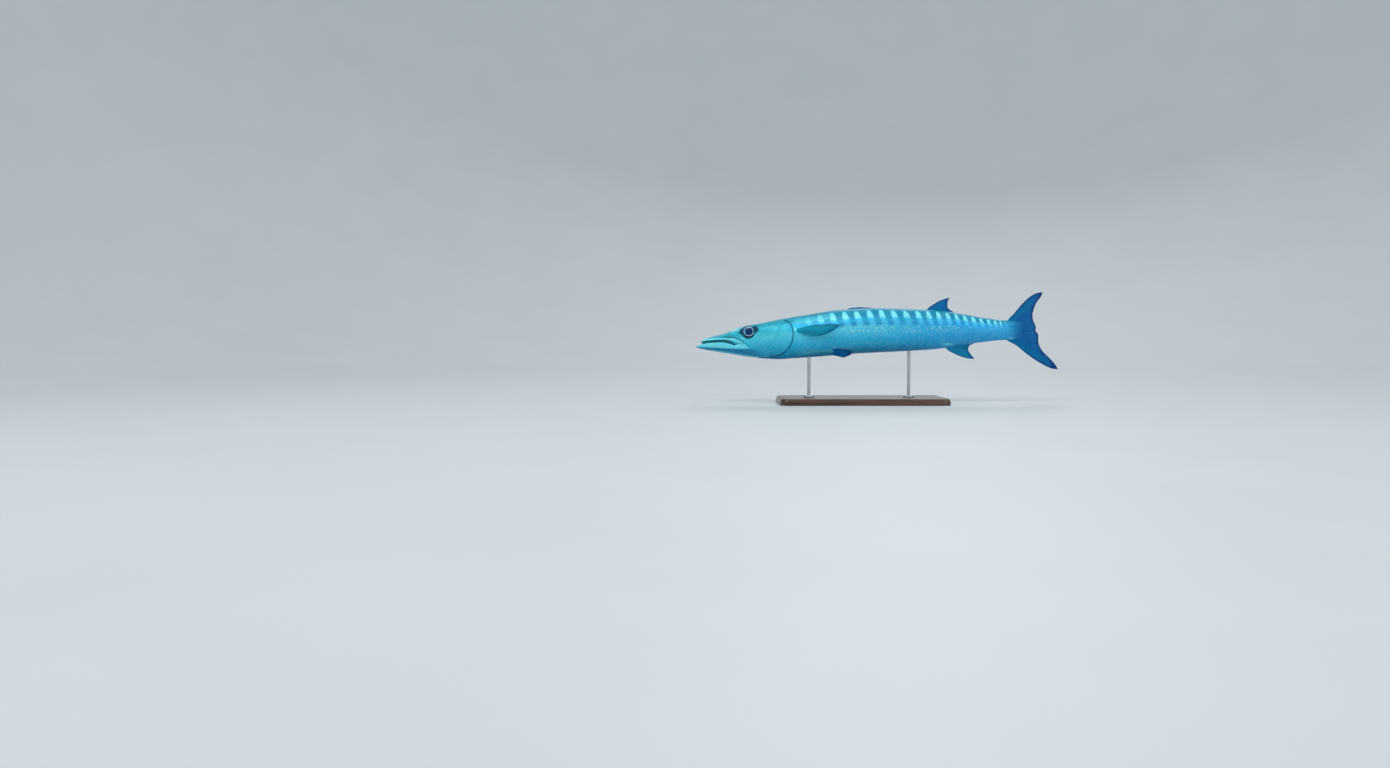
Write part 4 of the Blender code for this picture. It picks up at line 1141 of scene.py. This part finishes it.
def coat_piece(name, chosen):
    """Some of the scales as one mesh, with what each needs for its colour and its place on the skin."""
    here, spot = root[chosen], root_point[chosen]
    length = scale_length(here[:, 0])
    tube = (np.abs(spot[:, 2] - LATERAL_LINE(spot[:, 0])) < 0.27 * length) & (here[:, 0] > 0.266)
    height = np.clip(length / FULL_SCALE, 0.55, 1.0)
    shapes = [
        scale_shapes(here, surface, tube, height, standing[chosen])
        for surface in (body_surface, cover_surface)
    ]
    shape = np.where(on_cover[chosen][:, None, None, None, None], shapes[1], shapes[0])
    count, _, rows, columns = shape.shape[:4]
    size = rows * columns
    each = 2 * size
    quads, rim = sheet_faces(rows, columns)
    quads = quads[:, [0, 3, 2, 1]]
    following = np.roll(rim, -1)
    wall = np.stack([rim, following, following + size, rim + size], axis=-1)
    base = (np.arange(count) * each)[:, None, None]
    piece = mesh_piece(
        name, shape.reshape(-1, 3), (quads + base).reshape(-1, 4), (wall + base).reshape(-1, 4),
        (rim + size + base[:, 0]).reshape(-1, len(rim)),
    )
    mark(piece, shape.reshape(-1, 3), np.repeat(chance.random(count), each))
    along = np.tile(np.repeat(SCALE_ALONG, columns), 2 * count)
    across = np.tile(SCALE_ACROSS, 2 * rows * count)
    patch = np.stack([
        np.repeat((here[:, 0] - COAT_START) / (COAT_END - COAT_START), each) + along * PATCH / 2,
        np.repeat(here[:, 1], each) + across * PATCH / 2,
    ], axis=-1)
    corner = np.empty(len(piece.data.loops), int)
    piece.data.loops.foreach_get("vertex_index", corner)
    unwrap = piece.data.uv_layers.new(name="OFBake")
    unwrap.uv.foreach_set("vector", patch[corner].astype(np.float32).ravel())
    return piece


painted_scales = material("painted_scales", bpy.data.node_groups["barracuda_markings"], LACQUER)
coat_start = 0.0
for name, coat_end in COAT_PARTS:
    scales = coat_piece(f"scales_{name}", (root[:, 0] >= coat_start) & (root[:, 0] < coat_end))
    show(scales, painted_scales, "skin")
    scales.data.set_sharp_from_angle(angle=math.radians(50))
    coat_start = coat_end


# The fins: thin webs on bony rays that fork again and again towards the free edge, cast in a clear
# resin and painted. Their roots are sunk in the skin.
FIN_SHADES = {
    "tail": ((0, 112, 172), (0, 88, 156), (0, 126, 170), (0, 46, 106), 0.12),
    "dark": ((0, 122, 170), (0, 96, 160), (0, 120, 176), (0, 52, 112), 0.20),
    "green": ((4, 160, 178), (0, 126, 156), (6, 158, 180), (0, 96, 134), 0.16),
    "belly": ((0, 150, 196), (0, 114, 160), (0, 138, 176), (0, 80, 134), 0.22),
}
FIN_GLOSS = {"Coat Weight": 0.03, "Coat Roughness": 0.2, "Specular IOR Level": 0.10}
MEMBRANE = 0.62
TAIL_RAY = (0.0030, 0.0007)
MEDIAN_RAY = (0.0018, 0.0005)
PAIRED_RAY = (0.0013, 0.0005)
FOLDED_SPINE = (0.0016, 0.0009)


def sail(base, lead, trail, last):
    """A surface between four edges: the root, the leading edge, the free edge and the last ray."""

    def at(t, r):
        t, r = t[..., None], r[..., None]
        t1, r1 = t[..., 0], r[..., 0]
        sides = (1 - t) * lead(r1) + t * last(r1) + (1 - r) * base(t1) + r * trail(t1)
        corners = (1 - t) * (1 - r) * lead(0.0) + t * (1 - r) * last(0.0)
        corners = corners + (1 - t) * r * lead(1.0) + t * r * last(1.0)
        return sides - corners

    return at


def fin_piece(name, surface, half_depth, rays, columns, rows, forks=True, scallop=0.004, wave=0.0006):
    """A fin. surface(t, r) is its middle at the share t across the rays and r along them."""
    t, r = np.meshgrid(np.linspace(0, 1, columns), np.linspace(0, 1, rows) ** 0.9)
    phase = np.abs((t * (rays - 1) + 0.5) % 1 - 0.5)
    if forks:
        inner = ease(0.0, 0.9 / (rays - 1), t)
        phase = np.abs(phase - 0.25 * ease(0.15, 0.75, r) * inner)
        phase = np.abs(phase - 0.125 * ease(0.50, 1.0, r) * inner)
    ridge = hump(phase, 0.21 - 0.12 * ease(0.0, 0.8, r))
    pulled = r * (1 - scallop * ease(0.85, 1.0, r) * (1 - ridge))
    middle = surface(t, pulled)
    normal = np.cross(np.gradient(middle, axis=0), np.gradient(middle, axis=1))
    normal /= np.linalg.norm(normal, axis=-1)[..., None]
    middle = middle + normal * (wave * r * np.sin(7 * t + 3 * r))[..., None]
    root_half, tip_half = half_depth
    rim = np.minimum(np.minimum(ease(0, 0.012, t), ease(1, 0.988, t)), ease(1, 0.985, r))
    risen = ease(0.02, 0.20, r)
    half = root_half + (tip_half - root_half) * r ** 0.8
    half *= 0.85 * (1 - risen) + (MEMBRANE + (1 - MEMBRANE) * ridge) * risen
    lift = normal * (half * (0.35 + 0.65 * rim))[..., None]
    made = slab_piece(name, middle + lift, middle - lift)
    keep(made, "ray", *[np.concatenate([value.ravel()] * 2) for value in (t, r, ridge)])
    return made


def median_fin(name, corners, lead, trail, half_depth, rays, columns, rows, **others):
    """A fin in the middle plane, between its first and last root corners."""
    first, end = corners
    flat = sail(path(first, end), path(first, *lead), path(lead[-1], *trail), path(end, trail[-1]))

    def upright(t, r):
        place = flat(t, r)
        return np.stack([place[..., 0], np.zeros(t.shape), place[..., 1]], axis=-1)

    return fin_piece(name, upright, half_depth, rays, columns, rows, **others)


def fin_paint(name, root_shade, web, ray, margin, reach):
    """The paint of a fin: paler rays over a darker web, and a dark margin along its edges.

    reach is the margin's share of the fin's height. The rest are shades of red, green and blue.
    """
    tree, start, end = group(name, ("Ray", "Where"), ("Base Color", "Roughness", "Height"))
    across, along, ridge = parts(tree, start.outputs["Ray"])
    where = start.outputs["Where"]
    cloud = calc(tree, "SUBTRACT", noise(tree, where, 60, detail=3.0), 0.5)
    blurred = calc(tree, "MULTIPLY_ADD", cloud, 0.20, along)
    colour = mix(tree, rise(tree, blurred, 0.10, 0.50), paint(*root_shade), paint(*web))
    on_ray = product(tree, rise(tree, ridge, 0.35, 0.9), 0.55)
    middle = product(tree, between(tree, across, 0.02, 0.24, 0.34, 0.62), rise(tree, along, 0.95, 0.60))
    front = product(tree, rise(tree, across, 0.085, 0.02), rise(tree, along, 0.08, 0.30))
    edge = calc(tree, "MAXIMUM", rise(tree, blurred, 1.0 - reach, 1.0), front)
    mottle = rise(tree, noise(tree, where, 220, detail=3.0), 0.35, 0.70, 0.0, 0.22)
    colour = lay(
        tree, colour, (on_ray, *ray), (product(tree, middle, 0.6), *ray),
        (product(tree, edge, 0.85), *margin), (mottle, *margin),
    )
    rough = calc(tree, "MULTIPLY_ADD", noise(tree, where, 160), 0.25, 0.26)
    joints = calc(tree, "SINE", product(tree, along, 320.0))
    joints = product(tree, joints, ridge, rise(tree, along, 0.2, 0.5, 0.0, 0.25))
    put_out(tree, end, colour, rough, joints)
    return tree


fin_paints = {
    name: material(f"{name}_fin", fin_paint(f"{name}_web", *shades), FIN_GLOSS)
    for name, shades in FIN_SHADES.items()
}

upper_tail = median_fin(
    "tail_fin_upper",
    corners=((0.857, 0.0225), (0.862, 0.0011)),
    lead=(
        (0.8680, 0.0366), (0.8790, 0.0470), (0.8950, 0.0655), (0.9120, 0.0832), (0.9300, 0.0972),
        (0.9475, 0.1058), (0.9644, 0.1083),
    ),
    trail=(
        (0.9600, 0.0970), (0.9470, 0.0807), (0.9390, 0.0630), (0.9350, 0.0450), (0.9360, 0.0330),
        (0.9415, 0.0200), (0.9455, 0.0100), (0.9440, 0.0011),
    ),
    half_depth=TAIL_RAY, rays=12, columns=300, rows=50,
)
show(upper_tail, fin_paints["tail"], "dark_fin", "caudal_fin_upper")
lower_tail = median_fin(
    "tail_fin_lower",
    corners=((0.856, -0.0190), (0.862, 0.0013)),
    lead=(
        (0.8640, -0.0280), (0.8760, -0.0334), (0.8880, -0.0400), (0.9148, -0.0604),
        (0.9457, -0.0812), (0.9638, -0.0912), (0.9823, -0.1002), (1.0000, -0.1060), (1.0150, -0.1070),
    ),
    trail=(
        (1.0035, -0.0910), (0.9900, -0.0775), (0.9637, -0.0522), (0.9535, -0.0303),
        (0.9530, -0.0116), (0.9440, 0.0013),
    ),
    half_depth=TAIL_RAY, rays=12, columns=300, rows=50,
)
show(lower_tail, fin_paints["tail"], "dark_fin", "caudal_fin_lower")
second_dorsal = median_fin(
    "second_back_fin",
    corners=((0.629, 0.0500), (0.700, 0.0450)),
    lead=((0.6352, 0.0612), (0.6486, 0.0709), (0.6655, 0.0814), (0.6810, 0.0876), (0.6964, 0.0920)),
    trail=((0.6908, 0.0789), (0.6905, 0.0685), (0.6965, 0.0595), (0.7065, 0.0535)),
    half_depth=MEDIAN_RAY, rays=10, columns=150, rows=44,
)
show(second_dorsal, fin_paints["dark"], "dark_fin", "second_dorsal_fin")
anal = median_fin(
    "belly_fin",
    corners=((0.684, -0.0400), (0.757, -0.0280)),
    lead=((0.6900, -0.0500), (0.7093, -0.0615), (0.7316, -0.0709), (0.7537, -0.0764), (0.7686, -0.0772)),
    trail=((0.7576, -0.0634), (0.7500, -0.0505), (0.7530, -0.0411), (0.7648, -0.0352)),
    half_depth=MEDIAN_RAY, rays=10, columns=150, rows=44,
)
show(anal, fin_paints["belly"], "dark_fin", "anal_fin")
folded_dorsal = median_fin(
    "first_back_fin",
    corners=((0.402, 0.0545), (0.470, 0.0580)),
    lead=((0.4250, 0.0634), (0.4540, 0.0658)),
    trail=((0.4700, 0.0650), (0.4880, 0.0638)),
    half_depth=FOLDED_SPINE, rays=5, columns=90, rows=30, forks=False, scallop=0.10, wave=0.0,
)
show(folded_dorsal, fin_paints["belly"], "dark_fin", "first_dorsal_fin")


def breast_fin(name, side):
    """The paddle behind the gill cover, which stands away from the flank towards its tip."""
    top, bottom = (0.2648, 0.0056), (0.2672, -0.0026)
    tip, heel = (0.3860, 0.0165), (0.3150, -0.0140)
    lead = path(
        top, (0.2790, 0.0074), (0.2935, 0.0104), (0.3090, 0.0144), (0.3330, 0.0172), (0.3720, 0.0187), tip,
    )
    last = path(bottom, (0.2800, -0.0042), (0.2930, -0.0080), (0.3030, -0.0114), heel)
    trail = path(tip, (0.3780, 0.0085), (0.3640, -0.0010), (0.3480, -0.0082), (0.3310, -0.0126), heel)
    flat = sail(path(top, bottom), lead, trail, last)
    splay = spline((0.264, -0.0060), (0.273, 0.0004), (0.386, 0.0300))

    def surface(t, r):
        s, h = np.moveaxis(flat(t, r), -1, 0)
        return (BODY.flank(s, h) + splay(s)[..., None] * (0, 1, 0)) * (1, side, 1)

    return fin_piece(name, surface, PAIRED_RAY, 12, 144, 48, wave=0.0005)


def hip_fin(name, side):
    """The small fin low on the flank, swept back along the belly."""
    high, low = math.radians(-44), math.radians(-72)
    reach = spline((0.0, 0.066), (0.25, 0.079), (0.60, 0.074), (1.0, 0.052))
    foot = spline((0.0, 0.342), (1.0, 0.350))
    spread = spline((0.0, 0.55), (0.65, 1.0), (1.0, 0.87))

    def surface(t, r):
        angle = (high + low) / 2 + (low - high) * (t - 0.5) * spread(r)
        lift = -0.0060 + 0.0130 * r + 0.0050 * t * r ** 2
        return BODY.point(foot(t) + reach(t) * r, angle, lift) * (1, side, 1)

    return fin_piece(name, surface, PAIRED_RAY, 6, 90, 40, wave=0.0003)


for side, name in ((1, "right"), (-1, "left")):
    breast = breast_fin(f"breast_fin_{name}", side)
    show(breast, fin_paints["green"], "green_fin", f"pectoral_fin_{name}")
    hip = hip_fin(f"hip_fin_{name}", side)
    show(hip, fin_paints["dark"], "green_fin", f"pelvic_fin_{name}")


# The stand: a stained hardwood board with a moulded edge, on which two turned steel rods stand on
# round feet, each held by three small screws. The rods end in the belly.
BOARD_LENGTH, BOARD_WIDTH, BOARD_HEIGHT = 0.460, 0.190, 0.018
BOARD_CORNER = 0.022
ROD_PLACES = (("front", 0.310), ("rear", 0.585))
ROD_RADIUS, ROD_SIDES = 0.0045, 64
SCREWS, SCREW_CIRCLE = 3, 0.0108
FOOT_ROUNDING = 0.0030
SHARP_EDGE = math.radians(40)
WOOD_SHADES = ((0.25, 40, 24, 16), (0.45, 68, 42, 27), (0.55, 86, 55, 36), (0.75, 52, 31, 20))


def turned(centre, profile, sides):
    """Rings of points round an upright line, from a profile of radius and height."""
    turn = full_turn(sides)
    return np.stack([
        np.stack([
            centre[0] + radius * np.cos(turn), centre[1] + radius * np.sin(turn), np.full(sides, z),
        ], axis=-1)
        for radius, z in profile
    ])


def board():
    edge = (
        (0.0008, 0.0), (0.0, 0.0008), (0.0, 0.0100), (0.0004, 0.0108), (0.0014, 0.0112),
        (0.0018, 0.0120), (0.0020, 0.0140), (0.0030, 0.0162), (0.0048, 0.0176), (0.0068, 0.0180),
        (0.0200, 0.0180), (0.0500, 0.0180), (0.0900, 0.0180),
    )
    turn = full_turn(240)
    rings = []
    for inset, height in edge:
        corner = max(BOARD_CORNER - inset, 0.001)
        half = np.array([BOARD_LENGTH / 2 - inset - corner, BOARD_WIDTH / 2 - inset - corner])
        way = np.stack([np.cos(turn), np.sin(turn)], axis=-1)
        spot = np.sign(way) * half + corner * way
        rings.append(np.column_stack([spot, np.full(len(turn), height)]))
    return tube_piece("board", own(np.stack(rings))[:, ::-1])


def rod(name, station):
    centre = (JAW_TIP_X + station, float(sway(station)))
    top = AXIS_HEIGHT + float(BODY.bottom(station)) + 0.002
    foot = BOARD_HEIGHT + 0.0003
    profile = [
        (0.0140, foot), (0.0149, foot + 0.0003), (0.0150, foot + 0.0010), (0.0150, foot + 0.0026),
        (0.0147, foot + 0.0034), (0.0139, foot + 0.0039), (0.0130, foot + 0.0040),
        (0.0080, foot + 0.0041),
    ]
    for a in np.linspace(0, 1.5, 7):
        radius = ROD_RADIUS + FOOT_ROUNDING - FOOT_ROUNDING * math.sin(a)
        profile.append((radius, foot + 0.0071 - FOOT_ROUNDING * math.cos(a)))
    profile += [(ROD_RADIUS, z) for z in np.linspace(foot + 0.010, top, 12)]
    made = tube_piece(name, own(turned(centre, profile, ROD_SIDES))[:, ::-1])
    for k in range(SCREWS):
        angle = math.radians(90 + 360 / SCREWS * k)
        at = (centre[0] + SCREW_CIRCLE * math.cos(angle), centre[1] + SCREW_CIRCLE * math.sin(angle))
        join(made, screw(at, foot + 0.0038))
    return made


def screw(at, height):
    """A small dome-headed screw with a slot across it."""
    turn = full_turn(36)
    dome = ((0.0019, 0.0), (0.0019, 0.0003), (0.0017, 0.0008), (0.0012, 0.0012), (0.0006, 0.00135))
    rings = []
    for radius, z in dome:
        x, y = radius * np.cos(turn), radius * np.sin(turn)
        slot = 0.0006 * (np.abs(y) < 0.0003) * (z > 0.0007)
        rings.append(np.stack([at[0] + x, at[1] + y, height + z - slot], axis=-1))
    return tube_piece("screw", own(np.stack(rings))[:, ::-1])


def wood():
    tree, start, end = group("stained_wood", ("Where",), ("Base Color", "Roughness", "Height"))
    where = start.outputs["Where"]
    grain = noise(tree, where, 24, stretch=(0.35, 5.0, 5.0), detail=5.0)
    pores = noise(tree, where, 260, stretch=(0.05, 1.0, 1.0))
    colour = ramp(tree, grain, WOOD_SHADES)
    colour = lay(tree, colour, (rise(tree, pores, 0.62, 0.70, 0.0, 0.6), 24, 14, 9))
    rough = calc(tree, "MULTIPLY_ADD", grain, 0.15, 0.28)
    put_out(tree, end, colour, rough, product(tree, pores, -1.0))
    return tree


def brushed():
    tree, start, end = group("brushed_steel", ("Where",), ("Base Color", "Roughness", "Height"))
    where = start.outputs["Where"]
    lines = noise(tree, where, 180, stretch=(0.15, 0.15, 14.0), detail=3.0)
    colour = mix(tree, noise(tree, where, 30), paint(168, 170, 174), paint(206, 207, 209))
    rough = calc(tree, "MULTIPLY_ADD", lines, 0.22, 0.18)
    put_out(tree, end, colour, rough, product(tree, lines, 0.3))
    return tree


wood_paint = material("stained_wood", wood(), {"Coat Weight": 0.4, "Coat Roughness": 0.15})
steel = material("brushed_steel", brushed(), {"Metallic": 1.0})
base = board()
show(base, wood_paint, "board", "stand_base")
base.data.set_sharp_from_angle(angle=SHARP_EDGE)
for name, station in ROD_PLACES:
    made = rod(f"{name}_rod", station)
    show(made, steel, "steel", f"stand_rod_{name}")
    made.data.set_sharp_from_angle(angle=SHARP_EDGE)


# The studio: a pale floor that sweeps up into a backdrop all round, three large soft lights and a
# pale sky. The camera looks a little down on the fish from its left side, as in the photo.
FLOOR_RADIUS, BACKDROP_BEND, BACKDROP_HEIGHT = 2.5, 3.5, 4.2
FLOOR_SIDES = 96
LENS, SENSOR = 28, 36
LENS_IN_PIXELS, FISH_BELOW_MIDDLE = 1081.1, 53


def bowl():
    """The floor as a disc with a wide turned rim, open at the top."""
    profile = [(radius, 0.0) for radius in (0.4, 1.0, 1.7, FLOOR_RADIUS)]
    for a in np.linspace(0.06, math.pi / 2, 24):
        radius = FLOOR_RADIUS + BACKDROP_BEND * math.sin(a)
        profile.append((radius, BACKDROP_BEND - BACKDROP_BEND * math.cos(a)))
    profile.append((FLOOR_RADIUS + BACKDROP_BEND, BACKDROP_HEIGHT))
    rings = turned((0, 0), profile, FLOOR_SIDES)
    points = np.concatenate([np.concatenate(rings), [[0, 0, 0]]])
    row, column = np.meshgrid(np.arange(len(profile) - 1), np.arange(FLOOR_SIDES), indexing="ij")
    a = (row * FLOOR_SIDES + column).ravel()
    b = (row * FLOOR_SIDES + (column + 1) % FLOOR_SIDES).ravel()
    k = np.arange(FLOOR_SIDES)
    quads = np.stack([a, a + FLOOR_SIDES, b + FLOOR_SIDES, b], axis=-1)
    disc = np.stack([k, (k + 1) % FLOOR_SIDES, np.full(FLOOR_SIDES, len(points) - 1)], axis=-1)
    return mesh_piece("floor", own(points), quads, disc)


def light(name, at, size, power):
    """A round soft light that shines on the fish."""
    lamp = bpy.data.objects.new(name, bpy.data.lights.new(name, "AREA"))
    lamp.data.shape = "DISK"
    lamp.data.size = size
    lamp.data.energy = power
    lamp.location = at
    lamp.rotation_euler = (Vector((0.05, 0, 0.18)) - Vector(at)).to_track_quat("-Z", "Y").to_euler()
    bpy.context.scene.collection.objects.link(lamp)


floor = bowl()
floor.data.shade_smooth()
pale = bpy.data.materials.new("pale_floor")
pale.use_nodes = True
where = add(pale.node_tree, "TexCoord", {}).outputs["Object"]
tone = mix(pale.node_tree, noise(pale.node_tree, where, 3.0), paint(196, 202, 205), paint(204, 209, 212))
shader = pale.node_tree.nodes["Principled BSDF"]
shader.inputs["Roughness"].default_value = 0.55
pale.node_tree.links.new(tone, shader.inputs["Base Color"])
floor.data.materials.append(pale)
light("key", (-1.6, -2.6, 3.6), 3.0, 78)
light("fill", (2.8, -3.2, 2.2), 3.0, 36)
light("rim", (0.8, 3.2, 3.2), 2.4, 40)
studio = bpy.data.worlds.new("studio")
bpy.context.scene.world = studio
studio.use_nodes = True
studio.node_tree.nodes["Background"].inputs[0].default_value = (0.84, 0.90, 0.94, 1)
studio.node_tree.nodes["Background"].inputs[1].default_value = 0.75
bpy.context.scene.view_settings.view_transform = "Standard"

camera = bpy.data.objects.new("camera", bpy.data.cameras.new("camera"))
bpy.context.scene.collection.objects.link(camera)
camera.data.lens = LENS
camera.data.sensor_width = SENSOR
camera.location = (JAW_TIP_X - 0.004, -2.98, AXIS_HEIGHT)
camera.rotation_euler = (math.pi / 2 - math.atan(FISH_BELOW_MIDDLE / LENS_IN_PIXELS), 0, 0)
bpy.context.scene.camera = camera
